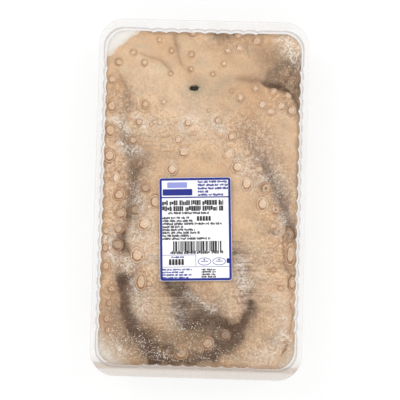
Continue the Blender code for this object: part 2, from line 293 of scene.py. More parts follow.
def wallOutline(fluteSteps, arcSteps):
    # the wall's top line as (x, y) and how much each point shares in the flutes, anticlockwise
    halfX, halfY, radius = pack["wallHalfX"], pack["wallHalfY"], pack["cornerRadius"]
    longSide, shortSide = (
        np.linspace(-1, 1, count * fluteSteps + 1) * count * pack["flutePitch"] / 2
        for count in (pack["flutesLong"], pack["flutesShort"])
    )
    gapY = np.linspace(longSide[-1], halfY - radius, 5)[1:-1]
    gapX = np.linspace(shortSide[-1], halfX - radius, 6)[1:-1]
    alongY = np.concatenate([-gapY[::-1], longSide, gapY])
    alongX = np.concatenate([-gapX[::-1], shortSide, gapX])
    insetY, insetX = fluteInset(alongY, pack["flutesLong"]), fluteInset(alongX, pack["flutesShort"])
    runs = []
    for turn in range(4):
        side, inset, half = (alongY, insetY, halfX) if turn % 2 == 0 else (alongX, insetX, halfY)
        across = halfX - radius if turn in (0, 3) else radius - halfX
        upward = halfY - radius if turn in (0, 1) else radius - halfY
        angle = math.pi / 2 * (turn + np.linspace(0, 1, arcSteps + 1))
        straight = ((half, side), (-side, half), (-half, -side), (side, -half))[turn]
        runs.append(np.stack(np.broadcast_arrays(*straight, inset), 1))
        arcX, arcY = across + radius * np.cos(angle), upward + radius * np.sin(angle)
        runs.append(np.stack([arcX, arcY, np.zeros(arcSteps + 1)], 1))
    return np.vstack(runs)


def outlineAt(outline, inset, flutes=1.0, grow=0.0):
    # the outline drawn in by inset, its flutes kept in this share, pushed out by grow
    x, y, depth = outline.T
    inX = np.where(np.abs(np.abs(x) - pack["wallHalfX"]) < 1e-6, depth, 0.0)
    inY = np.where(np.abs(np.abs(y) - pack["wallHalfY"]) < 1e-6, depth, 0.0)
    x = x - np.sign(x) * (inX * flutes)
    y = y - np.sign(y) * (inY * flutes)
    x, y = squeezed(x, y, inset - grow)
    return np.stack([x, y], 1)


def loftRings(bm, rings):
    # a closed skin: each ring is drawn out from the one before, and the first and the last are capped
    made = bmesh.ops.create_circle(bm, cap_ends=True, segments=len(rings[0][0]), radius=1)
    ring = made["verts"]
    edges = bm.edges[:]
    points, height = rings[0]
    for vert, (x, y) in zip(ring, points):
        vert.co = (x, y, height)
    for points, height in rings[1:]:
        made = bmesh.ops.extrude_edge_only(bm, edges=edges)
        newVerts, edges = vertsOf(made), edgesOf(made)
        # an extruded vertex starts where its old one stands, so it takes the same number
        order = {tuple(round(c, 5) for c in vert.co): i for i, vert in enumerate(ring)}
        ring = sorted(newVerts, key=lambda vert: order[tuple(round(c, 5) for c in vert.co)])
        for vert, (x, y) in zip(ring, points):
            vert.co = (x, y, height)
    bmesh.ops.contextual_create(bm, geom=edges)
    bmesh.ops.recalc_face_normals(bm, faces=bm.faces)


# Folds where arms press together: depth, half width, how dark the painted shade in the fold is, and the
# points that the fold runs through.
folds = [
    (0.5, 1.1, 0.55, [(-47, 105.5), (-43, 103.6), (-37, 102), (-31, 100), (-28, 97), (-22.5, 91.5)]),
    (0.5, 1.5, 0.26, [
        (-21, 118), (-20.5, 112), (-19.5, 108), (-18, 103), (-16, 97), (-13, 93.5),
        (-9.5, 91.5),
    ]),
    (0.4, 0.9, 0.35, [(-12, 120), (-10, 117), (-7, 114.5)]),
    (0.4, 3.0, 0.12, [(15, 119), (11, 114), (8, 108)]),
    (0.5, 1.2, 0.45, [(27.5, 122), (30.5, 115), (31.5, 110), (33, 105)]),
    (1.6, 2.4, 0.34, [(25, 88), (32, 89.3), (38, 88.3), (43, 86), (50, 84), (57, 82), (60, 81)]),
    (2.0, 1.8, 0.70, [(50, 84), (57, 82), (60, 81), (65, 77), (69, 71), (71, 65)]),
    (0.8, 1.6, 0.55, [(59, 86), (62, 90), (66, 96)]),
    (0.8, 1.8, 0.35, [(-63.5, 93), (-60, 87), (-57, 82), (-55, 77), (-53, 71), (-55, 65)]),
    (0.8, 2.4, 0.25, [(-60, 38), (-50, 36.5), (-42, 37.5), (-28, 38)]),
    (2.4, 2.6, 0.45, [(-44, 24), (-46, 17), (-48, 10), (-49, 2), (-51, -5), (-53, -13), (-52, -22)]),
    (2.6, 2.2, 0.50, [(-52, -22), (-56, -28), (-55, -36), (-57, -46), (-55, -56), (-54, -62)]),
    (2.6, 2.8, 0.55, [
        (-54, -62), (-53, -75), (-52, -86), (-49, -94), (-43, -99), (-37, -105), (-33, -113),
        (-32, -121),
    ]),
    (2.4, 2.0, 0.60, [(20, -91), (26, -94.5), (31, -91.5), (35, -86), (37.5, -80), (38.5, -74)]),
    (1.8, 2.6, 0.35, [(-12, -61), (-9, -66), (-8, -76), (-2, -84), (8, -86), (20, -88)]),
    (1.6, 4.0, 0.35, [(-34, -110), (-22, -109), (-14, -116), (0, -113), (12, -112), (22, -106), (31, -97)]),
    (0.6, 0.9, 0.45, [(29, 48), (33, 44), (37, 41)]),
    (1.8, 3.4, 0.30, [
        (38, 36), (43, 30), (48, 22), (52, 15), (55, 8), (59, 2), (62, -6), (65, -17),
        (68, -25),
    ]),
    (0.6, 2.6, 0.16, [(15, 68), (22, 64), (28, 61), (40, 60)]),
    (1.2, 1.0, 0.75, [
        (61, -26), (62, -38), (62.5, -46), (64.5, -50), (68, -54), (66, -58), (66, -64),
        (69, -68),
    ]),
    (1.0, 0.9, 0.70, [(69, -69), (67, -73), (69.3, -80), (68.7, -89), (67.5, -97)]),
    (1.0, 0.9, 0.85, [(66, -104), (64.5, -108), (62, -112)]),
    (0.5, 1.0, 0.35, [(58, -48.5), (61, -50), (65, -50)]),
]

# Suckers in groups: how pale, how dark the painted shade in the dimple, then the x, y, width and length of
# each.
suckerRows = [
    (0.22, 0.1, [
        (-66.9, 85.5, 6.0, 6.4), (-66.4, 66, 7.6, 8.2), (-66.9, 48.2, 8.4, 9.4),
        (-67, 29.6, 8.2, 9.2),
    ]),
    (0.18, 0.1, [
        (-59, 1.3, 8.2, 8.6), (-57.5, -12.2, 7.8, 8), (-58.8, -24, 6.4, 6.4),
        (-59, -35.4, 8, 7.4),
    ]),
    (0.85, 0.0, [(-61.8, 13.2, 5.4, 8.2)]),
    (0.25, 0.3, [(-67.6, -25.4, 4.6, 5.6), (-68, -38, 5, 6), (-67.2, -51, 6, 7)]),
    (0.28, 0.6, [
        (-62.6, -67.5, 5, 5.2), (-63.8, -78, 4.6, 4.8), (-65.4, -89, 5, 6),
        (-64.4, -97.6, 4.6, 4.6),
    ]),
    (0.35, 0.1, [(-41.9, 67.6, 5, 5.6), (-46.2, 54.5, 5, 5.4), (-50, 41, 6, 5.6)]),
    (0.10, 0.1, [(-45.4, 25.2, 7.6, 7.2), (-39.8, 6.4, 7, 6.8), (-47.2, -9.5, 7, 7)]),
    (0.90, 0.0, [(-28.5, 69.7, 3.2, 3.2), (-34.5, 54.9, 3.8, 3.8), (-37.4, 53.2, 2.6, 2.8)]),
    (0.80, 0.1, [
        (-10.3, 54.7, 5, 5.2), (-17.1, 42.1, 5.2, 5.2), (-12.7, 33.5, 7.6, 7.8),
        (-20.8, 20.6, 7.8, 8),
    ]),
    (0.40, 0.1, [(-32.4, -3.4, 8, 9.4)]),
    (0.90, 0.1, [(-40, -19.6, 9.2, 9)]),
    (0.70, 0.1, [(-44.4, -42.4, 9.4, 10.2)]),
    (0.30, 0.1, [(-41, -61.6, 7.4, 12.4)]),
    (0.75, 0.1, [(4.6, 64.5, 2, 2), (11.5, 57.2, 5, 5.2), (13.4, 48.5, 6.8, 6.8)]),
    (0.95, 0.1, [(19.9, 32.7, 8.2, 8.2), (26.6, 23.6, 8, 8.6), (33.7, 11.6, 7.6, 9.6), (45.6, -3, 8, 9.4)]),
    (0.60, 0.1, [(21.9, 45.6, 6, 6), (33, 34, 5.2, 5.2), (42, 22.3, 5.8, 5.4)]),
    (0.20, 0.9, [(47.8, 8.6, 8.2, 8.4), (55.3, -6.8, 6.4, 7), (65, -24.6, 6.6, 10)]),
    (0.35, 0.2, [(54, -18.6, 5, 5)]),
    (0.30, 0.2, [(66.8, -39, 6.6, 16)]),
    (0.35, 0.1, [(68.4, -60, 4.6, 9)]),
    (0.10, 0.3, [(60.3, -63.6, 4.4, 3.8), (54.8, -50.5, 3.4, 3.4)]),
    (0.75, 0.1, [(27.3, 74.2, 4.4, 5.4), (43.4, 69.4, 6, 5.8)]),
    (0.50, 0.1, [(49.6, 64.6, 6.4, 5.4), (57.2, 69, 6, 6.4), (64.8, 66, 6.4, 7.4)]),
    (0.40, 0.1, [(38.2, 81.3, 5, 4.8), (51.4, 79.2, 5.2, 5.2), (61.6, 76.4, 5.4, 5)]),
    (0.95, 0.0, [(14.6, 98.9, 3.2, 3.4)]),
    (0.75, 0.1, [(17.4, 108.9, 4.2, 4.2), (25.6, 110.7, 5.6, 5.4)]),
    (0.20, 0.1, [(38.6, 116.6, 7.4, 7.2), (24.6, 119.6, 5, 4), (20.9, 79.1, 2.6, 2.6)]),
    (0.35, 0.1, [
        (6.9, 91.1, 3.2, 3.2), (-9.3, 94.6, 3.4, 3.4), (-9.2, 105.2, 4.4, 4.4),
        (-8.6, 120.4, 4.6, 3.4),
    ]),
    (0.55, 0.1, [
        (-24.2, 90.6, 2.5, 2.5), (-33, 115.6, 3.4, 3.4), (-51.9, 105.6, 4.4, 4.2),
        (-43.4, 98.2, 4.2, 4.6),
    ]),
    (0.15, 0.1, [(-62.2, 98.4, 5.6, 5.4), (-23.9, 107.6, 4, 4)]),
    (0.10, 0.3, [(-26.8, -111.3, 5, 4.4), (-20.6, -111.6, 4.4, 4), (-10.6, -112.3, 10, 9.4)]),
    (0.25, 0.3, [(8.3, -104.8, 9.4, 9)]),
    (0.12, 0.4, [(21, -98.6, 7.8, 8)]),
]

flesh = {
    "edgeHeight": 28.2,
    "crown": 1.7,
    "wallRound": 1.3,
    "cutRound": 0.5,
    "intoWall": 0.42,
    "gridX": 195,
    "gridY": 336,
    "wallRings": 9,
    "bottom": 1.15,
    "mouthCentre": (-6.5, 80.5),
    "mouthHalf": (3.6, 2.1),
    "mouthDepth": 3.4,
    "seed": 5,
}


def listSuckers():
    # every sucker as x, y, half width, half length, paleness and how dark the painted shade in its dimple
    # is
    return [
        (x, y, wide / 2, long / 2, pale, dimpleShade)
        for pale, dimpleShade, stated in suckerRows
        for x, y, wide, long in stated
    ]


def fleshHeight(where):
    # the pressed top: a flat crown that rounds off at the wall, folds, and a soft seat round each sucker
    x, y = where.T
    crown = (1 - (x / pack["wallHalfX"]) ** 4) * (1 - (y / pack["wallHalfY"]) ** 6)
    height = flesh["edgeHeight"] + flesh["crown"] * np.clip(crown, 0, 1)
    height += 0.22 * wobble(where, 26, 1) + 0.10 * wobble(where, 9, 2) + 0.035 * wobble(where, 3.2, 3)
    for depth, halfWidth, _, points in folds:
        away = distanceTo(points, where) / halfWidth
        height -= depth * (0.72 * np.exp(-(away**2)) + 0.28 * np.exp(-away / 2.2))
    for sx, sy, wide, long, _, _ in listSuckers():
        away = np.hypot((x - sx) / wide, (y - sy) / long)
        height -= 0.22 * np.exp(-(((away - 1.15) / 0.28) ** 2))
    mouthX = (x - flesh["mouthCentre"][0]) / flesh["mouthHalf"][0]
    mouthY = (y - flesh["mouthCentre"][1]) / flesh["mouthHalf"][1]
    away = np.hypot(mouthX, mouthY) * (1 + 0.05 * np.sin(3 * np.arctan2(mouthY, mouthX) + 1))
    height += 0.45 * np.exp(-(((away - 1.5) / 0.5) ** 2))
    height -= flesh["mouthDepth"] * np.exp(-((away / 0.85) ** 4))
    return np.clip(height, 22.0, 30.35)


def outlineShare(x, y):
    # how much of the way to the plain rectangle's edge the flesh reaches in this direction
    halfX, halfY, radius = pack["wallHalfX"], pack["wallHalfY"], pack["cornerRadius"]
    ax, ay = np.abs(x), np.abs(y)
    inCorner = (ax > halfX - radius) & (ay > halfY - radius)
    dot = ax * (halfX - radius) + ay * (halfY - radius)
    square = ax**2 + ay**2
    rest = (halfX - radius) ** 2 + (halfY - radius) ** 2 - radius**2
    share = np.where(inCorner, (dot + np.sqrt(np.maximum(dot**2 - square * rest, 0))) / square, 1.0)
    for start, end, bow in iceCuts.values():
        start, end = np.array(start), np.array(end)
        along = (end - start) / np.linalg.norm(end - start)
        normal = np.array([along[1], -along[0]])
        normal *= np.sign(normal @ start)
        facing = x * normal[0] + y * normal[1]
        cut = np.where(facing > 1, (normal @ start) / np.maximum(facing, 1), 9.0)
        middle, half = (start + end) / 2, np.linalg.norm(end - start) / 2
        q = ((x * cut - middle[0]) * along[0] + (y * cut - middle[1]) * along[1]) / half
        ragged = 0.45 * np.sin(q * 9 + bow * 7) + 0.3 * np.sin(q * 23 + 1)
        cut = cut * (1 + (bow * np.clip(1 - q**2, 0, 1) + ragged * (np.abs(q) < 1)) / (normal @ start))
        share = np.minimum(share, cut)
    return share


def fleshPlace(u, v, w):
    # turns a place in the unit block, u and v across and w up, into millimetres
    reach = np.maximum(np.maximum(np.abs(u), np.abs(v)), 1e-6)
    halfX, halfY = pack["wallHalfX"], pack["wallHalfY"]
    edgeX, edgeY = u / reach * halfX, v / reach * halfY
    share = outlineShare(edgeX, edgeY)
    grow = 1 - (1 - share) * reach**5
    x, y = u * halfX * grow, v * halfY * grow
    onSide = np.abs(np.abs(edgeX) - halfX) < 1e-4
    inset = np.where(onSide, fluteInset(edgeY, pack["flutesLong"]), fluteInset(edgeX, pack["flutesShort"]))
    inset = inset * (share > 0.999)
    nearX = np.clip(1 - (1 - reach) * halfX / 2.6, 0, 1) ** 2
    nearY = np.clip(1 - (1 - reach) * halfY / 2.6, 0, 1) ** 2
    x = x - np.sign(x) * np.where(onSide, inset * nearX, 0)
    y = y - np.sign(y) * np.where(onSide, 0, inset * nearY)
    wallGap = np.minimum((1 - reach) * halfX, (1 - reach) * halfY)
    rounding = np.where(share > 0.999, flesh["wallRound"], flesh["cutRound"])
    top = fleshHeight(np.stack([x, y], 1)) - rounding * np.exp(-((wallGap / 1.6) ** 2))
    bottom = flesh["bottom"] + undersideRise(np.stack([x, y], 1), wallGap)
    z = bottom + w * (top - bottom)
    narrow = wallInset(z) - flesh["intoWall"]
    x, y = squeezed(x, y, narrow * reach**6)
    return x, y, z


def undersideRise(where, wallGap):
    # the back of the animal against the tray's base: the mantle in the middle, arms curled round it
    x, y = where.T
    mantle = np.hypot((x + 4) / 34, (y + 38) / 52)
    ring = np.exp(-(((mantle - 1) / 0.07) ** 2))
    turn = np.arctan2(y + 10, x)
    spread = np.hypot((x + 2) / 50, (y + 10) / 95)
    arms = np.exp(-((np.sin(4 * turn + 2.2 * spread + 0.8) / 0.16) ** 2)) * smoothstep(0.55, 0.9, spread)
    rise = 1.6 * np.maximum(ring, 0.9 * arms) + 0.25 * (1 + wobble(where, 12, 8))
    rise = rise + 0.1 * (1 + wobble(where, 4, 9))
    return np.clip(rise, 0, 2.4) * np.clip(wallGap / 4, 0, 1)


# Soft fields of colour: strength, radius and path. Each kind becomes one mask of the flesh's material. Most
# are the flesh's own pigment; the dark brown fields are umber pigment mixed with painted shade in creases,
# folds and along the walls, and one thin pale line is a painted highlight.
blushes = {
    # umber pigment together with painted shade in the creases, folds and along the walls
    "umberAndShade": [
        (0.30, 2.0, [(30, 87.5), (40, 86.5), (47, 85)]),
        (0.90, 2.3, [(45, 85.5), (53, 83.5), (60, 81)]),
        (0.60, 2.2, [(60, 81), (66, 76.5), (70, 70), (71.5, 64)]),
        (0.55, 5.0, [(50, 88), (60, 87), (68, 82)]),
        (0.55, 2.0, [(59, 87), (64, 93)]),
        (0.62, 7.0, [(54, 95), (58, 99), (65, 100)]),
        (0.34, 10.0, [(46, 104), (58, 106)]),
        (0.62, 5.0, [(69, 100), (69, 86), (71, 76)]),
        (0.35, 3.0, [(67, 72), (68, 60)]),
        (0.34, 2.0, [(-21.5, 119), (-20.5, 112)]),
        (0.20, 1.6, [(-20.3, 111), (-18, 102), (-14, 95.5), (-10, 92)]),
        (0.50, 3.4, [(9, 121), (14, 119), (20, 121)]),
        (0.28, 6.5, [(7, 117), (18, 115)]),
        (0.10, 8.0, [(36, 114), (44, 108)]),
        (0.22, 2.6, [(-61, 86), (-57, 79), (-54.5, 70), (-55, 62)]),
        (0.04, 6.0, [(-62, 74), (-58, 64)]),
        (0.62, 4.4, [(-58, 53), (-56, 44), (-54, 35)]),
        (0.30, 8.0, [(-54, 40), (-47, 30), (-40, 28)]),
        (0.36, 6.0, [(-50, 30), (-49, 20)]),
        (0.52, 4.2, [(-49.5, 20), (-50, 8), (-50, -4), (-52, -16)]),
        (0.26, 6.0, [(-44, 4), (-45, -14)]),
        (0.24, 8.0, [(-48, 16), (-50, -2), (-53, -18)]),
        (0.62, 3.0, [(-55, -28), (-53.5, -34), (-53, -39)]),
        (0.42, 5.5, [(-58, -34), (-52, -42)]),
        (0.80, 2.8, [(-57, -58.5), (-52.5, -58.5), (-50, -60)]),
        (0.45, 5.0, [(-58, -54), (-52, -56)]),
        (0.92, 4.2, [(-55, -61), (-53, -72), (-51.5, -82), (-48.5, -91)]),
        (0.50, 8.0, [(-54, -64), (-52, -80), (-47, -94)]),
        (0.97, 5.4, [(-49, -89), (-44.5, -97), (-38, -103), (-33, -110)]),
        (0.97, 6.6, [(-37, -103), (-32, -110), (-30, -118)]),
        (0.46, 5.0, [(-37, -93), (-31, -99)]),
        (0.90, 1.7, [(-34, -116), (-32.5, -123)]),
        (0.36, 7.0, [(-46, -104), (-40, -114)]),
        (0.24, 8.0, [(-64, -74), (-62, -86), (-60, -100), (-52, -108)]),
        (0.22, 5.0, [(2, -101), (12, -104)]),
        (0.92, 5.0, [(-29, -110), (-17, -111)]),
        (0.90, 4.8, [(-28, -117), (-14, -119), (0, -117.5), (14, -115)]),
        (0.35, 6.0, [(-22, -102), (-4, -103)]),
        (0.12, 14.0, [(-30, -70), (-10, -95), (16, -100), (-20, -112)]),
        (0.72, 4.4, [(-3, -112), (6, -113), (16, -111)]),
        (0.96, 6.8, [(13, -103), (21, -104), (28, -99)]),
        (0.60, 5.0, [(20, -96), (22, -100)]),
        (0.70, 6.0, [(22, -109), (31, -100)]),
        (0.96, 3.2, [(22, -94), (30, -93.5), (35, -87.5), (38, -80), (39, -75)]),
        (0.50, 5.0, [(31, -98), (38, -89), (41, -78)]),
        (0.06, 9.0, [(34, -106), (44, -92), (46, -80)]),
        (0.96, 5.6, [(-23, -62), (-15, -66), (-10, -70)]),
        (0.96, 6.4, [(-15, -68), (-12, -77), (-11, -86)]),
        (0.62, 7.0, [(-6, -70), (0, -78), (8, -82)]),
        (0.97, 5.2, [(-12, -88), (0, -89.5), (10, -89), (18, -91)]),
        (0.66, 3.8, [(-8, -93), (6, -95), (18, -94)]),
        (0.72, 2.4, [(0, -84.5), (12, -85), (20, -88)]),
        (0.36, 4.5, [(29, -88), (23, -91)]),
        (0.14, 6.0, [(8, -66), (20, -78)]),
        (0.62, 1.3, [(25, -39.2), (29, -39.2)]),
        (0.50, 1.1, [(32, -37.6), (35, -38)]),
        (0.62, 1.4, [(35.5, -51), (37.5, -51)]),
        (0.45, 1.4, [(-52, -14.6)]),
        (0.55, 1.2, [(37, -67.5), (39, -68)]),
        (0.40, 2.0, [(50, -22), (56, -24)]),
        (0.55, 1.3, [(52, -21), (54, -23.5), (57, -23)]),
        (0.75, 2.4, [(64.5, -15), (68, -21), (69, -27)]),
        (0.55, 3.4, [(65, -21), (65.5, -28)]),
        (0.30, 4.5, [(50, 22), (55, 10), (59, 2), (63, -10)]),
        (0.38, 2.8, [(46, 25), (52, 14), (57, 4), (62, -8)]),
        (0.32, 4.0, [(66, -50), (69, -56)]),
        (0.30, 3.0, [(66, -103), (62, -112)]),
        (0.35, 1.6, [(70.5, 60), (70.5, 30), (70.6, 0)]),
        (0.30, 1.4, [(-70, 30), (-70, 0), (-70, -30), (-70, -60)]),
        (0.30, 1.6, [(-40, 121), (-10, 121.3), (30, 121.3), (60, 121)]),
    ],
    "lilac": [
        (0.16, 8.0, [(-63, 74), (-60, 66), (-61, 58)]),
        (0.36, 4.0, [(-54, 74), (-51, 64)]),
        (0.60, 8.0, [(-50, 30), (-43, 22), (-48, 8)]),
        (0.42, 6.0, [(-46, -4), (-47, -16), (-48, -26)]),
        (0.50, 7.0, [(-58, -28), (-62, -44)]),
        (0.55, 6.0, [(-50, -44), (-46, -54), (-48, -68)]),
        (0.50, 5.0, [(32, 46), (38, 38), (43, 31)]),
        (0.95, 6.0, [(44, 28), (49, 20), (54, 12), (58, 4)]),
        (0.95, 5.2, [(56, 6), (60, -1), (63, -10)]),
        (0.85, 3.8, [(61, -9), (65, -16), (68, -24)]),
        (0.35, 13.0, [(46, 36), (58, 14)]),
        (0.80, 6.5, [(28, -37), (30, -48), (32, -58), (34, -68)]),
        (0.40, 4.0, [(66, -28), (67, -46)]),
        (0.35, 10.0, [(34, -46), (36, -62)]),
        (0.75, 6.0, [(-4, -74), (4, -80), (16, -82)]),
        (0.45, 5.0, [(26, -90), (34, -82), (34, -74)]),
        (0.35, 8.0, [(-42, -74), (-40, -86)]),
        (0.14, 8.0, [(6, -66), (18, -70)]),
        (0.35, 8.0, [(30, 56), (40, 50)]),
        (0.35, 7.0, [(40, 90), (50, 92)]),
        (0.10, 8.0, [(56, 48), (60, 32)]),
        (0.25, 8.0, [(60, -84), (60, -100)]),
        (0.25, 7.0, [(45, -112), (56, -104)]),
        (0.45, 7.0, [(-62, -84), (-58, -98), (-50, -108)]),
    ],
    "amber": [
        (0.55, 7.0, [(33, 84), (40, 78), (54, 74)]),
        (0.40, 5.0, [(27, 74), (34, 70)]),
        (0.45, 3.4, [(-45.5, 67), (-43, 71), (-42, 63)]),
        (0.45, 7.0, [(28, 119), (36, 116), (43, 112)]),
        (0.25, 10.0, [(14, 104), (30, 106), (44, 102)]),
        (0.25, 12.0, [(-30, 112), (-14, 104)]),
        (0.35, 5.0, [(-63, 84), (-61, 76)]),
        (0.40, 4.0, [(-68, 48), (-64, 44)]),
        (0.30, 8.0, [(-62, 78), (-60, 62)]),
        (0.45, 6.0, [(50, -16), (55, -24), (58, -34)]),
        (0.70, 2.4, [(62, -31), (61.5, -38), (62.5, -46)]),
        (0.75, 2.6, [(58.5, -62), (61.5, -64)]),
        (0.40, 3.5, [(55, -50)]),
        (0.60, 2.2, [(67, -74), (68, -82), (67.4, -92), (66, -97)]),
        (0.60, 3.0, [(64.5, -104), (62, -110)]),
        (0.20, 10.0, [(50, -74), (48, -92), (38, -112)]),
        (0.35, 4.0, [(22, -86), (28, -90)]),
        (0.95, 5.5, [(-37, -95), (-31, -100)]),
        (0.45, 5.0, [(6, -61), (10, -66)]),
        (0.35, 4.5, [(18, 28), (22, 20)]),
        (0.35, 6.0, [(36, 32), (42, 20), (46, 8)]),
        (0.40, 4.0, [(-26, 30), (-19, 27)]),
        (0.50, 2.2, [(-17, 21)]),
        (0.45, 4.0, [(-43, -48), (-38, -54)]),
        (0.35, 9.0, [(-62, -60), (-62, -76), (-64, -92)]),
        (0.30, 9.0, [(-60, 10), (-62, -8)]),
        (0.35, 6.0, [(-50, 2), (-51, -12)]),
        (0.30, 14.0, [(36, 70), (30, 56)]),
        (0.35, 1.8, [(-46, 105.5), (-31, 100), (-24, 93)]),
    ],
    "olive": [
        (0.85, 7.0, [(-24, -99), (-10, -100), (4, -99)]),
        (0.55, 6.0, [(-24, -105), (-12, -106), (0, -105)]),
        (0.45, 8.0, [(-54, -100), (-44, -112), (-40, -118)]),
        (0.45, 8.0, [(22, -116), (36, -114)]),
        (0.25, 9.0, [(-2, 72), (14, 74)]),
        (0.26, 10.0, [(50, -104), (46, -84), (46, -72)]),
        (0.30, 8.0, [(-22, -78), (-17, -92)]),
        (0.30, 10.0, [(6, 86), (24, 84)]),
        (0.25, 8.0, [(40, 20), (42, -14), (46, -34)]),
    ],
    "moss": [
        (0.72, 4.6, [(-8, 80.4), (-4, 80)]),
        (0.16, 9.0, [(-6, 78)]),
    ],
    "pale": [
        (0.55, 16.0, [(-38, 92), (-24, 80), (-6, 68), (10, 84)]),
        (0.60, 12.0, [(-50, 100), (-36, 86)]),
        (0.40, 10.0, [(-4, 112), (2, 100)]),
        (0.50, 8.0, [(-38, -76), (-30, -80), (-22, -82)]),
        (0.34, 10.0, [(40, -22), (34, -12), (44, -34)]),
        (0.45, 9.0, [(60, 52), (62, 40)]),
        (0.40, 8.0, [(66, 14), (66, 0)]),
        (0.50, 7.0, [(16, -64), (26, -72), (28, -80)]),
        # a thin pale line down the right side: a painted highlight along a wrinkle of the film
        (0.50, 2.2, [(57.5, -68), (57, -84), (56, -97)]),
        (0.75, 1.8, [(23, -80), (24, -85)]),
        (0.35, 9.0, [(44, -62), (50, -74)]),
        (0.45, 9.0, [(50, -94), (56, -86), (64, -90)]),
        (0.40, 14.0, [(20, 66), (0, 54), (-30, 60)]),
    ],
    "frost": [
        (0.95, 3.6, [(55, 118), (63, 116), (69, 110)]),
        (0.85, 4.4, [(60, 112), (66, 107), (70, 101)]),
        (0.65, 4.0, [(-66, 56), (-60, 55), (-55, 48)]),
        (0.60, 4.4, [(-59, 37), (-53, 34), (-47, 34)]),
        (0.30, 6.0, [(-45, 2), (-44, -8)]),
        (0.55, 4.0, [(-46, -24), (-40, -28), (-47, -30)]),
        (0.60, 4.0, [(-65, -28), (-66, -36), (-62, -46)]),
        (0.75, 4.5, [(-55, -50), (-50, -48)]),
        (0.65, 3.4, [(-46, -64), (-44, -67)]),
        (0.35, 6.0, [(-42, -72), (-40, -84)]),
        (0.95, 3.2, [(-46, 57), (-42, 52)]),
        (0.95, 2.6, [(-36, 56), (-33, 52)]),
        (0.95, 3.0, [(-14, 53), (-9, 57)]),
        (0.95, 3.0, [(8, 57), (12, 52), (15, 50)]),
        (0.80, 2.8, [(-22, 24), (-21, 17)]),
        (0.42, 5.0, [(58, -8), (61, -14), (56, -22)]),
        (0.28, 5.0, [(50, 16), (56, 18), (58, 8)]),
        (0.65, 5.0, [(30, -46), (33, -62)]),
        (0.50, 3.4, [(-6, -70), (2, -76), (12, -80)]),
        (0.45, 8.0, [(44, -116), (54, -112)]),
        (0.26, 5.0, [(56, -110), (61, -98), (63, -86)]),
        (0.50, 4.0, [(62, -98), (66, -102)]),
        (0.60, 4.0, [(-66, -102), (-62, -106), (-56, -112)]),
        (0.40, 6.0, [(-14, -84), (-16, -90)]),
        (0.22, 9.0, [(-10, 62), (10, 50)]),
        (0.40, 10.0, [(-40, -14), (-34, -40)]),
        (0.40, 10.0, [(30, 26), (40, 14)]),
        (0.35, 8.0, [(64, -84), (60, -70)]),
    ],
    # where wiped film leaves level streaks of frost
    "streak": [
        (0.95, 6.5, [(29, -36), (33, -48), (34, -62), (38, -74)]),
        (0.70, 9.0, [(-14, -68), (-10, -78), (4, -82)]),
        (0.85, 8.0, [(-30, -74), (-20, -82), (-22, -92)]),
        (0.60, 6.0, [(42, -50), (44, -66)]),
        (0.50, 8.0, [(-34, 38), (-26, 36)]),
        (0.45, 8.0, [(-30, -34), (-31, -46)]),
        (0.60, 5.0, [(-44, -70), (-40, -64)]),
    ],
    # how coarse the surface is: smooth on the upper lobes, broken up further down
    "grit": [
        (0.80, 22.0, [(-60, 60), (-58, 20), (-50, -30), (-50, -70), (-40, -100)]),
        (0.75, 20.0, [(-20, -66), (0, -80), (20, -104), (-10, -112)]),
        (0.70, 16.0, [(40, 40), (54, 8), (60, -20), (58, -50)]),
        (0.60, 14.0, [(30, -40), (32, -70)]),
        (0.60, 12.0, [(62, 112), (62, 96), (60, 76)]),
        (0.45, 18.0, [(-30, 50), (0, 48), (30, 50)]),
        (0.40, 18.0, [(50, -80), (50, -108)]),
        (0.30, 12.0, [(10, 118), (30, 118)]),
    ],
    "mouth": [
        (1.0, 1.75, [(-8.2, 80.4), (-6.4, 80.5), (-5.4, 80.7)]),
        (0.34, 3.2, [(-7.8, 80.4), (-4.8, 80.6)]),
    ],
}


def blushMask(kind, where):
    # overlapping fields add up like thin washes; their edges wander a little, except at the mouth
    drift = np.stack([wobble(where, 11, 31), wobble(where, 11, 32)], 1) * (0.15 if kind == "mouth" else 1.3)
    bare = np.ones(len(where))
    for strength, radius, points in blushes[kind]:
        away = distanceTo(points, where + drift) / radius
        bare *= 1 - strength * np.exp(-(away**2))
    return 1 - bare


def setMask(mesh, name, values):
    attribute = mesh.attributes.new(name, "FLOAT", "POINT")
    attribute.data.foreach_set("value", np.asarray(values, np.float32))


fleshLooks = {
    "tan": (0.770, 0.508, 0.306),
    "cream": (0.890, 0.670, 0.452),
    # umber pigment, also the colour of the painted shade in creases and along the walls
    "umberAndShade": (0.046, 0.019, 0.005),
    "lilac": (0.280, 0.195, 0.150),
    "amber": (0.60, 0.315, 0.145),
    "olive": (0.33, 0.215, 0.105),
    "moss": (0.42, 0.36, 0.24),
    "frost": (0.97, 0.88, 0.77),
    "mouth": (0.022, 0.022, 0.018),
    "skin": (0.20, 0.12, 0.088),
    "skinPale": (0.42, 0.29, 0.22),
    "skinSpot": (0.10, 0.06, 0.05),
    "greyCloud": (0.60, 0.50, 0.36),
    "rustCloud": (0.70, 0.41, 0.23),
    # brown of the painted shade in the folds
    "foldShadeBrown": (0.16, 0.075, 0.035),
    # orange-brown ring round the suckers: the skin's own rust colour, also painted shade at their feet
    "rustAndShadeBrown": (0.53, 0.28, 0.125),
    "pigment": (0.26, 0.15, 0.085),
    "crumb": (0.93, 0.77, 0.60),
    "pore": (0.36, 0.21, 0.115),
    "paleStreak": (0.66, 0.54, 0.44),
    "darkStreak": (0.12, 0.085, 0.065),
    # how fine the noises are
    "grain": 820,
    "mottle": 210,
    "pores": 2300,
}


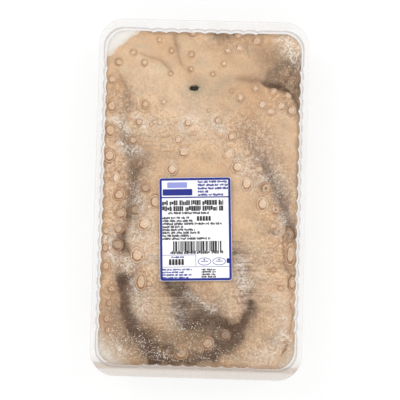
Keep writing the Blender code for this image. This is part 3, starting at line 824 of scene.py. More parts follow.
def makeFleshFinish():
    look = fleshLooks
    finish = Finish("octopusFlesh", Specular_IOR_Level=0.22, Coat_Weight=0.05, Coat_Roughness=0.3)
    place = finish.place
    cloud = place.noise(38, detail=4, rough=0.6)
    mottle = place.noise(look["mottle"], detail=4, rough=0.65)
    grain = place.noise(look["grain"], detail=3, rough=0.6)
    bits = place.noise(430, detail=4, rough=0.7)
    broken = (mottle * 0.65 + grain * 0.35).rise(0.36, 0.64)
    grit = finish.mask("grit") * 0.85 + 0.15
    bare = 1 - finish.mask("umberAndShade") * 0.92
    creamy = (finish.mask("pale") + (cloud - 0.5) * 0.9).clamp() * 0.8
    color = finish.color(look["tan"]).mix(look["cream"], creamy)
    color = color.mix(look["greyCloud"], place.noise(75, detail=3, rough=0.6).rise(0.50, 0.66) * 0.40)
    color = color.mix(look["rustCloud"], place.noise(105, detail=3, rough=0.6).rise(0.50, 0.64) * 0.30)
    # each field of pigment, and the painted shade among the umber, is broken up by a noise
    color = color.mix(look["amber"], (finish.mask("amber") * (0.5 + mottle)).clamp() * 0.75)
    color = color.mix(look["olive"], (finish.mask("olive") * (0.7 + cloud * 0.6)).clamp() * 0.85)
    color = color.mix(look["lilac"], (finish.mask("lilac") * (0.35 + bits * 1.3)).clamp() * 0.85)
    color = color.mix(look["moss"], (finish.mask("moss") * (0.6 + bits * 0.8)).clamp())
    # umber pigment and painted shade in the creases, folds and along the walls
    dark = (finish.mask("umberAndShade") * (0.42 + bits * 1.0 + broken * 0.2)).clamp() * 0.97
    color = color.mix(look["umberAndShade"], dark)
    # painted shade along the folds where the arms press together
    color = color.mix(look["foldShadeBrown"], (finish.mask("foldShade") * (0.6 + mottle * 0.7)).clamp() * 0.8)
    # round each sucker's foot: partly the skin's orange-brown ring, partly painted shade
    rustAndShade = (finish.mask("suckerFootRustAndShade") * (0.2 + mottle * 1.3)).clamp() * bare * 0.70
    color = color.mix(look["rustAndShadeBrown"], rustAndShade)
    # pigment grains, and crumbs of fat and ice among them
    flecks = (bits * 0.5 + grain * 0.5).rise(0.495, 0.57) * 0.72
    crumbs = (bits * 0.45 + grain * 0.55).rise(0.485, 0.40) * 0.78
    color = color.mix(look["pigment"], grit * bare * flecks)
    color = color.mix(look["crumb"], grit * bare * crumbs)
    pores = place.noise(look["pores"], detail=2, rough=0.6)
    color = color.mix(look["pore"], pores.rise(0.52, 0.62) * 0.22 * bare)
    # thin curls of frost follow the level lines of a noise
    curls = (place.noise(135, detail=3, rough=0.6, warp=1.8) - 0.5).size().rise(0.036, 0.014)
    fineCurls = (place.noise(330, detail=2, warp=1.0) - 0.5).size().rise(0.05, 0.012)
    crystals = (curls + fineCurls * 0.45 + broken * 0.08).clamp()
    frosty = (finish.mask("frost") * (0.02 + crystals * 1.7)).clamp()
    color = color.mix(look["frost"], frosty * 0.9)
    streaks = place.noise(170, detail=5, rough=0.75, stretch=(0.2, 3.4, 1.0))
    streaky = finish.mask("streak")
    color = color.mix(look["paleStreak"], (streaky * streaks.rise(0.53, 0.61)) * 0.42)
    color = color.mix(look["darkStreak"], (streaky * streaks.rise(0.49, 0.40)) * 0.6)
    mouth = finish.mask("mouth") + (grain - 0.5) * 1.1 + (bits - 0.5) * 0.2
    color = color.mix(look["mouth"], mouth.rise(0.28, 0.72))
    # the back and the sides carry the dark outer skin
    skin = finish.mask("skin")
    spots = place.cells(330).rise(0.75, 0.2)
    skinColor = finish.color(look["skin"]).mix(look["skinPale"], mottle.rise(0.35, 0.7) * 0.8)
    skinColor = skinColor.mix(look["skinSpot"], spots * cloud.rise(0.4, 0.65) * 0.55)
    color = color.mix(skinColor, (skin * (0.6 + cloud * 0.8)).clamp())
    rough = 0.42 + mottle * 0.22 + frosty * 0.25
    relief = grain.bump(0.40, 0.0004)
    relief = mottle.bump(0.45, 0.0010, onto=relief)
    relief = (crystals * finish.mask("frost") + streaks * streaky).bump(0.45, 0.0006, onto=relief)
    return finish.set(Base_Color=color, Roughness=rough, Normal=relief)


def makeOctopusBody():
    # a fine sheet for the top, walls that follow the flutes, and a back of cells three times as large
    bm = bmesh.new()
    countX, countY = flesh["gridX"], flesh["gridY"]
    bmesh.ops.create_grid(bm, x_segments=countX, y_segments=countY, size=1)
    bmesh.ops.translate(bm, vec=(0, 0, 1), verts=bm.verts)
    rim = [edge for edge in bm.edges if edge.is_boundary]
    for step in range(1, flesh["wallRings"] + 1):
        made = bmesh.ops.extrude_edge_only(bm, edges=rim)
        rim = edgesOf(made)
        level = 1 - step / (flesh["wallRings"] + 1)
        for vert in vertsOf(made):
            vert.co.z = level
    wallFoot = rim
    made = bmesh.ops.create_grid(bm, x_segments=countX // 3, y_segments=countY // 3, size=1)
    backFaces = list({face for vert in made["verts"] for face in vert.link_faces})
    bmesh.ops.reverse_faces(bm, faces=backFaces)
    backRim = [edge for face in backFaces for edge in face.edges if edge.is_boundary]
    bmesh.ops.subdivide_edges(bm, edges=backRim, cuts=2)
    backRim = [edge for edge in bm.edges if edge.is_boundary and edge.verts[0].co.z < 1e-6]
    made = bmesh.ops.extrude_edge_only(bm, edges=backRim)
    raised = vertsOf(made)
    for vert in raised:
        vert.co.z = 1 / (flesh["wallRings"] + 1)
    foot = list({vert for edge in wallFoot for vert in edge.verts})
    bmesh.ops.remove_doubles(bm, verts=raised + foot, dist=1e-4)

    body = makePiece("octopusBody", bm, makeFleshFinish(), scale=1.0)
    mesh = body.data
    unit = np.zeros(len(mesh.vertices) * 3)
    mesh.vertices.foreach_get("co", unit)
    u, v, w = unit.reshape(-1, 3).T
    x, y, z = fleshPlace(u, v, w)
    mesh.vertices.foreach_set("co", (np.stack([x, y, z], 1) * mm).ravel())
    mesh.update()

    where = np.stack([x, y], 1)
    upper = smoothstep(0.72, 0.98, w)
    for kind in blushes:
        setMask(mesh, kind, blushMask(kind, where) * upper)
    # painted shade along each fold, darkest at its middle
    foldShade = np.zeros(len(where))
    for _, halfWidth, dark, points in folds:
        foldShade = np.maximum(foldShade, dark * np.exp(-((distanceTo(points, where) / (0.62 * halfWidth)) ** 2)))
    setMask(mesh, "foldShade", foldShade * upper)
    # a ring round each sucker's foot, for its orange-brown colour and for painted shade there
    suckerFootRustAndShade = np.zeros(len(where))
    for sx, sy, wide, long, _, _ in listSuckers():
        away = (np.hypot((where[:, 0] - sx) / wide, (where[:, 1] - sy) / long) - 1) * wide
        suckerFootRustAndShade = np.maximum(suckerFootRustAndShade, np.exp(-(((away - 0.2) / 0.85) ** 2)))
    setMask(mesh, "suckerFootRustAndShade", suckerFootRustAndShade * upper)
    setMask(mesh, "skin", 1 - smoothstep(0.25, 0.95, w) * (0.9 + 0.1 * wobble(where, 14, 12)))
    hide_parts("octopus")
    print("octopus body:", len(mesh.polygons), "faces")
    return body


suckerForm = {
    # share of the radius, height over the flesh: dimple, disc, groove, rim, skirt
    "profile": [
        (0.0, -0.08), (0.10, -0.06), (0.20, 0.08), (0.36, 0.18), (0.52, 0.22), (0.62, 0.18), (0.70, 0.0),
        (0.77, -0.02), (0.84, 0.16), (0.92, 0.28), (1.0, 0.12), (1.07, -0.30), (0.0, -0.9),
    ],
    "segments": 36,
    "height": 0.75,
    "seed": 11,
    # colours of dull suckers, of pale ones, and of those darkened by the umber and painted shade in the
    # folds
    "disc": ((0.68, 0.455, 0.29), (0.77, 0.545, 0.36), (0.12, 0.072, 0.04)),
    "lip": ((0.72, 0.50, 0.33), (0.88, 0.69, 0.51), (0.20, 0.125, 0.075)),
    # brown of the creases; inside the ring it is deepened as painted shade on the side away from the
    # painted highlight
    "crease": (0.34, 0.15, 0.052),
    "darkCrease": (0.05, 0.028, 0.016),
    # painted shade in each sucker's central hollow
    "dimpleShade": (0.16, 0.105, 0.075),
    "paleDimple": (0.88, 0.74, 0.60),
    # a painted highlight on one side inside the ring
    "litEdge": (0.98, 0.84, 0.68),
    "crumb": (0.97, 0.88, 0.77),
    "blotch": (0.42, 0.25, 0.14),
}


def makeSuckerFinish():
    finish = Finish("suckerSkin", Specular_IOR_Level=0.35, Coat_Weight=0.12, Coat_Roughness=0.25)
    place = finish.place
    mottle = place.noise(260, detail=4, rough=0.6)
    grain = place.noise(700, detail=3)
    drift = place.noise(90, detail=2)
    ring = finish.mask("ring") + (mottle - 0.5) * 0.22
    pale = finish.mask("pale")
    lit = finish.mask("lit") + (mottle - 0.5) * 0.8
    shade = finish.mask("shade") * 0.85
    form = suckerForm
    tone, lip = (
        finish.color(dull).mix(bright, pale).mix(dark, shade)
        for dull, bright, dark in (form["disc"], form["lip"])
    )
    crease = finish.color(form["crease"]).mix(form["darkCrease"], shade)
    # painted shade in the central hollow of each sucker
    color = tone.mix(form["dimpleShade"], ring.rise(0.34, 0.12) * finish.mask("dimpleShade"))
    color = color.mix(form["paleDimple"], ring.rise(0.26, 0.12) * (1 - finish.mask("dimpleShade")) * pale * 0.5)
    # inside the ring one side gets a painted highlight, the other sinks into a brown crease deepened by
    # painted shade
    color = color.mix(form["litEdge"], ring.rise(0.44, 0.54) * lit.rise(0.2, 0.8) * pale * 0.6)
    ringCreaseAndShade = (0.22 + drift * 0.6 + lit.rise(0.5, -0.6) * 0.6 + (1 - pale) * 0.2).clamp()
    color = color.mix(crease, ring.rise(0.55, 0.66) * ringCreaseAndShade)
    color = color.mix(lip, ring.rise(0.85, 0.92) * (0.40 + drift * 0.9 - shade * 0.7).clamp())
    color = color.mix(crease, ring.rise(0.96, 1.03) * (0.25 + drift * 0.5 + (1 - pale) * 0.35).clamp())
    color = color.mix(form["crumb"], grain.rise(0.54, 0.64) * (0.10 + pale * 0.35))
    color = color.mix(form["blotch"], mottle.rise(0.53, 0.66) * 0.32)
    relief = mottle.bump(0.3, 0.0005)
    return finish.set(Base_Color=color, Roughness=0.34 + mottle * 0.25, Normal=relief)


def makeSuckers():
    rng = random.Random(suckerForm["seed"])
    suckers = listSuckers()
    middles = np.array([sucker[:2] for sucker in suckers])
    seats = fleshHeight(middles)
    # how dark the flesh is round each sucker: its umber and painted shade, and its lilac
    darkness = 1 - (1 - blushMask("umberAndShade", middles)) * (1 - 0.6 * blushMask("lilac", middles))
    bm = bmesh.new()
    layers = {name: bm.verts.layers.float.new(name) for name in ("ring", "pale", "dimpleShade", "lit", "shade")}
    halfX, halfY = pack["wallHalfX"] - 0.5, pack["wallHalfY"] - 0.5
    for (x, y, wide, long, pale, dimpleShade), seat, dark in zip(suckers, seats, darkness):
        before = len(bm.verts)
        line = [bm.verts.new((share, 0, height)) for share, height in suckerForm["profile"]]
        edges = [bm.edges.new(pair) for pair in zip(line, line[1:])]
        bmesh.ops.spin(
            bm, geom=line + edges, cent=(0, 0, 0), axis=(0, 0, 1), angle=2 * math.pi,
            steps=suckerForm["segments"], use_merge=True,
        )
        bm.verts.ensure_lookup_table()
        verts = bm.verts[before:]
        shade = min(1.0, max(0.0, pale + rng.uniform(-0.10, 0.10)))
        # the side from which each sucker's painted highlight and painted shade fall
        light = rng.uniform(0.2, 1.2)
        ripple = [rng.uniform(0, 2 * math.pi) for _ in range(2)]
        for vert in verts:
            share = vert.co.xy.length
            angle = math.atan2(vert.co.y, vert.co.x)
            vert[layers["ring"]] = share
            vert[layers["pale"]] = shade
            vert[layers["dimpleShade"]] = dimpleShade
            vert[layers["shade"]] = dark * (1 - pale)
            vert[layers["lit"]] = math.cos(angle - light)
            waves = 0.04 * math.sin(2 * angle + ripple[0]) + 0.028 * math.sin(3 * angle + ripple[1])
            uneven = 1 + share * waves
            vert.co = (vert.co.x * uneven, vert.co.y * uneven, vert.co.z)
        lean = Matrix.Rotation(rng.uniform(-0.05, 0.05), 4, "X")
        lean = lean @ Matrix.Rotation(rng.uniform(-0.05, 0.05), 4, "Y")
        tall = min(wide, long, 3.4) * 0.24 * suckerForm["height"]
        oval = Matrix.Diagonal((wide * 1.06, long * 1.06, tall, 1))
        spot = Matrix.Translation((x, y, min(seat + 0.10, 30.0))) @ lean @ oval
        bmesh.ops.transform(bm, matrix=spot, verts=verts)
        for vert in verts:
            vert.co.x = max(-halfX, min(halfX, vert.co.x))
            vert.co.y = max(-halfY, min(halfY, vert.co.y))
            vert.co.z = min(vert.co.z, 30.7)
    bmesh.ops.remove_doubles(bm, verts=bm.verts, dist=0.004)
    bmesh.ops.recalc_face_normals(bm, faces=bm.faces)
    piece = makePiece("suckers", bm, makeSuckerFinish())
    print("suckers:", len(suckers))
    return piece


frostForm = {
    # how many crystals lie along each path, and how far they stray from it
    "drifts": [
        (240, 10.0, [(-46, -100), (-34, -110), (-24, -116)]),
        (190, 8.0, [(-30, -114), (-10, -116), (16, -112)]),
        (44, 10.0, [(-6, -104), (14, -106), (26, -110)]),
        (50, 6.0, [(-20, -96), (4, -94)]),
        (110, 7.0, [(-60, -96), (-58, -108), (-46, -116)]),
        (60, 6.0, [(-48, 16), (-46, -2), (-44, -12)]),
        (50, 7.0, [(-62, 70), (-58, 56), (-56, 46)]),
        (50, 8.0, [(-62, 0), (-64, -30), (-60, -52)]),
        (40, 7.0, [(-38, 24), (-30, 10), (-34, -24)]),
        (30, 6.0, [(-52, -52), (-46, -62), (-52, -66)]),
        (34, 8.0, [(40, 26), (52, 10), (62, -6)]),
        (26, 7.0, [(56, 112), (66, 100), (68, 84)]),
        (20, 10.0, [(-30, 56), (-6, 62), (16, 50)]),
        (16, 5.0, [(-12, 74), (0, 74)]),
        (14, 8.0, [(30, 72), (54, 72)]),
        (24, 8.0, [(30, -114), (48, -108)]),
        (22, 9.0, [(30, -48), (42, -62)]),
        (20, 9.0, [(-40, -76), (-30, -86)]),
        (170, 60.0, [(-40, 50), (40, -60)]),
        (90, 40.0, [(-30, -90), (40, -100)]),
    ],
    "length": (0.32, 0.66),
    "colors": ((0.92, 0.82, 0.70), (1.0, 0.97, 0.92)),
    "seed": 23,
}


def makeFrostFinish():
    finish = Finish("frostCrystal", Roughness=0.35, Specular_IOR_Level=0.5, Coat_Weight=0.3)
    grain = finish.place.noise(1500, detail=2)
    dull, bright = frostForm["colors"]
    color = finish.color(dull).mix(bright, grain.rise(0.35, 0.65))
    return finish.set(Base_Color=color, Roughness=0.25 + grain * 0.3)


def makeFrostCrystals():
    rng = random.Random(frostForm["seed"])
    places = []
    for count, stray, points in frostForm["drifts"]:
        path = smoothPath(points, 1.0)
        for _ in range(count):
            x, y = path[rng.randrange(len(path))]
            x, y = x + rng.gauss(0, stray / 2), y + rng.gauss(0, stray / 2)
            if abs(x) < pack["wallHalfX"] - 3 and abs(y) < pack["wallHalfY"] - 3:
                places.append((x, y))
    seats = fleshHeight(np.array(places))
    bm = bmesh.new()
    for (x, y), seat in zip(places, seats):
        long = rng.uniform(*frostForm["length"]) * (1.25 if rng.random() < 0.15 else 1.0)
        wide = long * rng.uniform(0.62, 0.95)
        shape = Matrix.Diagonal((long, wide, wide * 0.6, 1))
        turned = Matrix.Rotation(math.radians(rng.gauss(62, 30)), 4, "Z")
        spot = Matrix.Translation((x, y, min(seat + 0.08, 30.6))) @ turned @ shape
        bmesh.ops.create_icosphere(bm, subdivisions=1, radius=0.62, matrix=spot)
    piece = makePiece("frostCrystals", bm, makeFrostFinish())
    print("frost crystals:", len(places))
    return piece


iceForm = {
    "top": 27.8,
    "airStreak": (0.98, 0.94, 0.88),
    "darkStreak": (0.50, 0.40, 0.31),
    "bubble": (0.97, 0.92, 0.85),
    # colour beside the flesh, colour out in the corner, and how wide the first one is
    "ice_top_left": {"near": (0.90, 0.78, 0.66), "far": (1.0, 0.97, 0.91), "band": 5.0, "alpha": 0.86},
    "ice_bottom_left": {"near": (0.60, 0.44, 0.30), "far": (0.76, 0.66, 0.56), "band": 10.0, "alpha": 0.88},
    "ice_bottom_right": {"near": (0.66, 0.48, 0.33), "far": (0.78, 0.64, 0.50), "band": 9.0, "alpha": 0.88},
}


def makeIceFinish(name, near, far, band, alpha):
    finish = Finish(name, Specular_IOR_Level=0.5, Alpha=alpha, IOR=1.31)
    place = finish.place
    cloud = place.noise(90, detail=4, rough=0.6)
    grain = place.noise(600, detail=3)
    across, along = finish.mask("across"), finish.mask("along")
    # trapped air runs outwards in fine white streaks
    grid = across.add("ShaderNodeCombineXYZ", {0: across * 0.06, 1: along * 0.5 + cloud * 0.6})
    streaks = grid.noise(1.6, detail=4, rough=0.65)
    color = finish.color(near).mix(far, (across / band + (cloud - 0.5) * 0.9).rise(0.25, 1.0))
    color = color.mix(iceForm["airStreak"], streaks.rise(0.50, 0.64) * across.rise(1.0, band) * 0.75)
    color = color.mix(iceForm["darkStreak"], streaks.rise(0.47, 0.36) * 0.18)
    color = color.mix(iceForm["bubble"], grain.rise(0.55, 0.66) * 0.5)
    relief = (cloud + streaks + grain * 0.4).bump(0.5, 0.0012)
    return finish.set(Base_Color=color, Roughness=0.2 + cloud * 0.35, Normal=relief)


def makeIceCorner(node, cut):
    # the corner of the tray's outline that lies past the cut, filled up to a slightly sunken, rippled top
    start, end = (Vector(point) for point in cut[:2])
    along = (end - start).normalized()
    normal = Vector((along.y, -along.x))
    normal = normal if normal.dot(start) > 0 else -normal
    outline = wallOutline(12, 16)
    bm = bmesh.new()
    top = iceForm["top"]
    levels = [pack["baseTop"] + 0.3, 2.0, pack["footHeight"], 8, 12, 16, 20, 24, top - 1.2, top - 0.3]
    rings = [(outlineAt(outline, wallInset(height), grow=0.35), height) for height in levels]
    for inset in (0.8, 2.4, 6.0, 12.0):
        rings.append((outlineAt(outline, wallInset(top) + inset, flutes=max(0, 1 - inset)), top))
    loftRings(bm, rings)
    cutPoint = start - normal * 0.1
    bmesh.ops.bisect_plane(
        bm, geom=bm.verts[:] + bm.edges[:] + bm.faces[:], plane_co=(cutPoint.x, cutPoint.y, 0),
        plane_no=(normal.x, normal.y, 0), clear_inner=True, dist=1e-5,
    )
    openEdges = [edge for edge in bm.edges if edge.is_boundary]
    bmesh.ops.holes_fill(bm, edges=openEdges, sides=0)
    bmesh.ops.triangulate(bm, faces=[face for face in bm.faces if len(face.verts) > 4])
    for vert in bm.verts:
        if vert.co.z > top - 0.05:
            vert.co.z += 0.25 * math.sin(vert.co.x * 0.5) * math.sin(vert.co.y * 0.4 + 1)
    bmesh.ops.recalc_face_normals(bm, faces=bm.faces)
    acrossLayer, alongLayer = (bm.verts.layers.float.new(word) for word in ("across", "along"))
    for vert in bm.verts:
        away = Vector((vert.co.x, vert.co.y)) - start
        vert[acrossLayer] = away.dot(normal)
        vert[alongLayer] = away.dot(along)
    name = "ice" + node.title().replace("_", "")[3:]
    piece = makePiece(name, bm, makeIceFinish(name + "Finish", **iceForm[node]), smooth=False)
    piece.data.shade_smooth()
    piece.data.set_sharp_from_angle(angle=math.radians(35))
    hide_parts(node)
    print("ice:", name)
    return piece


trayForm = {
    "skin": 0.45,
    "flangeThick": 0.6,
    "flangeRadius": 18.0,
    "panelRise": 0.35,
    "plastic": ((0.90, 0.86, 0.81), (0.97, 0.95, 0.92)),
    # painted shade on the low end of the wall, and deeper painted shade at its foot
    "lowWallShade": (0.64, 0.54, 0.44),
    "wallFoot": (0.56, 0.43, 0.32),
    # painted shade where the plastic bends
    "bendShade": (0.44, 0.38, 0.36),
}


def flangeOutline(outline, halfX, halfY, radius):
    # the flange's plain edge, with one point out from each point of the wall's line
    x, y, _ = outline.T
    reach = np.maximum(np.abs(x) / pack["wallHalfX"], np.abs(y) / pack["wallHalfY"])
    edgeX, edgeY = x / reach / pack["wallHalfX"] * halfX, y / reach / pack["wallHalfY"] * halfY
    overX, overY = np.abs(edgeX) - (halfX - radius), np.abs(edgeY) - (halfY - radius)
    inCorner = (overX > 0) & (overY > 0)
    angle = np.arctan2(np.maximum(overY, 1e-9), np.maximum(overX, 1e-9))
    cornerX = np.sign(edgeX) * (halfX - radius + radius * np.cos(angle))
    cornerY = np.sign(edgeY) * (halfY - radius + radius * np.sin(angle))
    return np.stack([np.where(inCorner, cornerX, edgeX), np.where(inCorner, cornerY, edgeY)], 1)


def makeTrayFinish():
    finish = Finish("clearTray", Specular_IOR_Level=0.5, IOR=1.5)
    place = finish.place
    cloud = place.noise(60, detail=3)
    scratch = place.noise(420, detail=3, stretch=(1.0, 1.0, 0.15))
    dull, bright = trayForm["plastic"]
    color = finish.color(dull).mix(bright, cloud.rise(0.35, 0.65))
    # painted shade: the wall at the end away from the mouth is drawn browner and darker, most of all at its
    # foot
    along = place.add("ShaderNodeSeparateXYZ", {0: place}, out=1)
    low = along.rise(-0.112, -0.124)
    color = color.mix(trayForm["lowWallShade"], low * 0.9)
    footShadeBand = along.rise(-0.1195, -0.1215) * along.rise(-0.1258, -0.1238)
    color = color.mix(trayForm["wallFoot"], footShadeBand * 0.8)
    # painted shade: the plastic is drawn darker where it bends, and it is also made denser there
    bendShade = finish.mask("bendShade")
    color = color.mix(trayForm["bendShade"], bendShade * 0.85)
    alpha = 0.18 + bendShade * 0.45 + low * 0.14 + footShadeBand * 0.14
    relief = (cloud * 0.6 + scratch * 0.2).bump(0.15, 0.0006)
    return finish.set(Base_Color=color, Roughness=0.09 + scratch * 0.12, Alpha=alpha, Normal=relief)


def makeTray():
    outline = wallOutline(12, 16)
    skin, radius, panel = trayForm["skin"], trayForm["flangeRadius"], trayForm["panelRise"]
    halfX, halfY, top = (size / mm for size in trayHigh)
    under = top - trayForm["flangeThick"]

    def ring(inset, height, flutes=0.0):
        return outlineAt(outline, inset, flutes=flutes), height

    def wallRing(height, lift=0.0, back=0.0):
        return ring(wallInset(height + lift) - back, height, min(1.0, 0.6 + height / 20))

    def shoulderRing(share, low, rise, back=0.0):
        # the shoulder rolls over outwards to the flange
        turn = share * math.pi / 2
        inset = pack["shoulderInset"] * (1 - math.cos(turn)) - back
        return ring(inset, low + rise * math.sin(turn), 1 - 0.3 * share)

    base, foot, wallTop = pack["baseInset"], pack["footHeight"], pack["wallTop"]
    inner = [ring(34, 1.15), ring(12.6, 1.15), ring(11.6, 0.8), ring(base + 0.8, pack["baseTop"], 0.5)]
    inner += [wallRing(height) for height in (1.1, 1.9, 3.0, foot, 9, 14, 19, 24, 27, wallTop)]
    inner += [shoulderRing(share, wallTop, top - wallTop) for share in (0.25, 0.5, 0.75, 0.93)]
    inner.append(ring(pack["shoulderInset"] - 0.35, top, 0.6))
    rim = []
    turnedDown = ((1.2, top), (0.35, top - 0.02), (0.0, top - 0.22), (0.0, under + 0.1), (0.3, under))
    for shrink, height in turnedDown:
        rim.append((flangeOutline(outline, halfX - shrink, halfY - shrink, radius - shrink), height))
    outer = [ring(pack["shoulderInset"] - 0.7, under, 0.6)]
    for share in (0.8, 0.5, 0.2):
        outer.append(shoulderRing(share, wallTop - skin / 2, under - wallTop + skin / 2, skin))
    outer += [wallRing(height, 0.2, skin) for height in (28, 24, 19, 14, 9, foot, 2.6, 1.4, 0.6)]
    outer += [ring(base - 0.1, 0.12, 0.5), ring(base + 0.8, 0.0, 0.4)]
    outer += [ring(11.4, 0.0), ring(12.4, panel), ring(34, panel)]
    bm = bmesh.new()
    loftRings(bm, inner + rim + outer)
    # marks the bends of the plastic that take the painted shade
    bendLayer = bm.verts.layers.float.new("bendShade")
    bends = [points for points, height in inner if top - 0.45 < height < top - 0.001]
    bends += [points for points, height in rim if height == top - 0.22]
    dark = {(round(x, 3), round(y, 3)) for points in bends for x, y in points}
    for vert in bm.verts:
        if (round(vert.co.x, 3), round(vert.co.y, 3)) in dark and vert.co.z > top - 0.5:
            vert[bendLayer] = 1.0
    piece = makePiece("clearTrayShell", bm, makeTrayFinish())
    piece.data.set_sharp_from_angle(angle=math.radians(50))
    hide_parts("tray")
    print("tray:", len(piece.data.polygons), "faces")
    return piece


filmForm = {
    "thick": 0.05,
    "rise": 0.70,
    "sag": 0.09,
    "gridX": 76,
    "gridY": 130,
    "edgeIn": 0.5,
    # where the rise starts on each side, and how far in it is complete
    "sealX": 74,
    "sealY": 127,
    "slope": 12,
    "colors": ((0.16, 0.14, 0.12), (0.30, 0.27, 0.24)),
}


def makeFilmFinish():
    finish = Finish("lidFilm", Roughness=0.08, Specular_IOR_Level=1.0, Alpha=0.03)
    place = finish.place
    crease = place.noise(70, detail=4, stretch=(1.0, 0.35, 1.0), warp=0.6)
    dark, light = filmForm["colors"]
    color = finish.color(dark).mix(light, crease)
    return finish.set(Base_Color=color, Roughness=0.05 + crease * 0.1, Normal=crease.bump(0.35, 0.001))


def makeFilm():
    bm = bmesh.new()
    bmesh.ops.create_grid(bm, x_segments=filmForm["gridX"], y_segments=filmForm["gridY"], size=1)
    halfX = filmHigh.x / mm - filmForm["edgeIn"]
    halfY = filmHigh.y / mm - filmForm["edgeIn"]
    radius = trayForm["flangeRadius"] - filmForm["edgeIn"]
    flat = filmLow.z / mm - 0.22
    for vert in bm.verts:
        x, y = vert.co.x * halfX, vert.co.y * halfY
        overX, overY = abs(x) - (halfX - radius), abs(y) - (halfY - radius)
        if overX > 0 and overY > 0:
            # squeeze the square corner into the round one
            far = max(overX, overY) / math.hypot(overX, overY)
            x = math.copysign(halfX - radius + overX * far, x)
            y = math.copysign(halfY - radius + overY * far, y)
        insideX = min(1.0, max(0.0, (filmForm["sealX"] - abs(x)) / filmForm["slope"]))
        insideY = min(1.0, max(0.0, (filmForm["sealY"] - abs(y)) / filmForm["slope"]))
        ripple = math.sin(x * 0.31 + math.sin(y * 0.11) * 2) * math.sin(y * 0.23 + 0.6 * math.sin(x * 0.17))
        vert.co = (x, y, flat + insideX * insideY * (filmForm["rise"] + filmForm["sag"] * ripple))
    bmesh.ops.solidify(bm, geom=bm.faces[:], thickness=filmForm["thick"])
    bmesh.ops.recalc_face_normals(bm, faces=bm.faces)
    piece = makePiece("lidFilmSheet", bm, makeFilmFinish())
    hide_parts("lid_film")
    print("film done")
    return piece


labelForm = {
    "size": (52.3, 75.0),
    "turn": math.radians(2.3),
    "radius": 2.2,
    "thick": 0.12,
    "border": 1.75,
    "inkThick": 0.03,
    "seed": 3,
    # each pair is the main colour and the colour of its specks
    "paper": ((0.90, 0.90, 0.93), (0.96, 0.96, 0.975)),
    "blueInk": ((0.014, 0.022, 0.23), (0.06, 0.08, 0.38)),
    "paleBlueInk": ((0.30, 0.33, 0.70), (0.5, 0.52, 0.80)),
    "blackInk": ((0.022, 0.02, 0.02), (0.14, 0.13, 0.13)),
}
labelCentre = (labelLow + labelHigh) / 2 / mm
labelBase = labelLow.z / mm + 0.02
inkBase = labelBase + labelForm["thick"] + 0.005


def onLabel(bm):
    # moves what was drawn in the label's own frame, from its top left corner, to its place on the film
    width, height = labelForm["size"]
    toMiddle = Matrix.Translation((-width / 2, height / 2, 0)) @ Matrix.Diagonal((1, -1, 1, 1))
    turned = Matrix.Rotation(labelForm["turn"], 4, "Z")
    place = Matrix.Translation((labelCentre.x, labelCentre.y, 0)) @ turned @ toMiddle
    bmesh.ops.transform(bm, matrix=place, verts=bm.verts)
    bmesh.ops.recalc_face_normals(bm, faces=bm.faces)


def roundedFace(bm, left, top, right, bottom, radius, low, steps):
    # a flat face with round corners
    made = bmesh.ops.create_circle(bm, cap_ends=True, segments=4 * steps, radius=1)
    halfX, halfY = (right - left) / 2, (bottom - top) / 2
    for vert in made["verts"]:
        cornerX = math.copysign(halfX - radius[0], vert.co.x)
        cornerY = math.copysign(halfY - radius[1], vert.co.y)
        vert.co = (
            (left + right) / 2 + cornerX + vert.co.x * radius[0],
            (top + bottom) / 2 + cornerY + vert.co.y * radius[1],
            low,
        )
    return made["verts"][0].link_faces[0]


def thicken(bm, faces, thick=labelForm["inkThick"]):
    made = bmesh.ops.extrude_face_region(bm, geom=faces)
    bmesh.ops.translate(bm, vec=(0, 0, thick), verts=vertsOf(made))


def roundedPatch(bm, left, top, right, bottom, radius, steps=6):
    thicken(bm, [roundedFace(bm, left, top, right, bottom, (radius, radius), inkBase, steps)])


def ringPatch(bm, left, top, right, bottom, radius, line, steps=6):
    # a frame of even width along a rounded outline
    face = roundedFace(bm, left, top, right, bottom, radius, inkBase, steps)
    rim = bmesh.ops.inset_region(bm, faces=[face], thickness=line, use_even_offset=True, use_boundary=True)
    bmesh.ops.delete(bm, geom=[face], context="FACES")
    thicken(bm, rim["faces"])


def bar(bm, left, top, right, bottom):
    thick = labelForm["inkThick"]
    middle = Matrix.Translation(((left + right) / 2, (top + bottom) / 2, inkBase + thick / 2))
    shape = Matrix.Diagonal((right - left, bottom - top, thick, 1))
    bmesh.ops.create_cube(bm, size=1, matrix=middle @ shape)


def dashRow(bm, rng, left, right, top, bottom, grain=1.0):
    # a row of short strokes in uneven groups, like a line of print seen from afar
    x = left
    while x < right - 0.3:
        group = rng.uniform(2.5, 8.0) * grain
        end = min(x + group, right)
        while x < end - 0.2:
            step = rng.uniform(0.55, 1.1) * grain
            drop = (bottom - top) * rng.choice((0, 0, 0.25))
            foot = bottom - (bottom - top) * rng.choice((0, 0, 0.2))
            bar(bm, x, top + drop, min(x + step, end), foot)
            x += step + rng.uniform(0.09, 0.18) * grain
        x = end + rng.uniform(0.5, 0.9) * grain


def makePaperFinish():
    finish = Finish("labelPaper", Roughness=0.45, Specular_IOR_Level=0.4)
    fibre = finish.place.noise(1600, detail=3, stretch=(1.0, 2.2, 1.0))
    cloud = finish.place.noise(60, detail=2)
    dull, bright = labelForm["paper"]
    color = finish.color(dull).mix(bright, cloud.rise(0.3, 0.7))
    return finish.set(Base_Color=color, Roughness=0.4 + fibre * 0.15, Normal=fibre.bump(0.12, 0.0001))


def makeInkFinish(name):
    finish = Finish(name, Roughness=0.5, Specular_IOR_Level=0.35)
    main, light = labelForm[name]
    speck = finish.place.noise(2200, detail=2)
    color = finish.color(main).mix(light, speck.rise(0.52, 0.75) * 0.3)
    return finish.set(Base_Color=color, Roughness=0.4 + speck * 0.2)


def finishPrint(bm, name, ink):
    onLabel(bm)
    piece = makePiece(name, bm, makeInkFinish(ink), smooth=False)


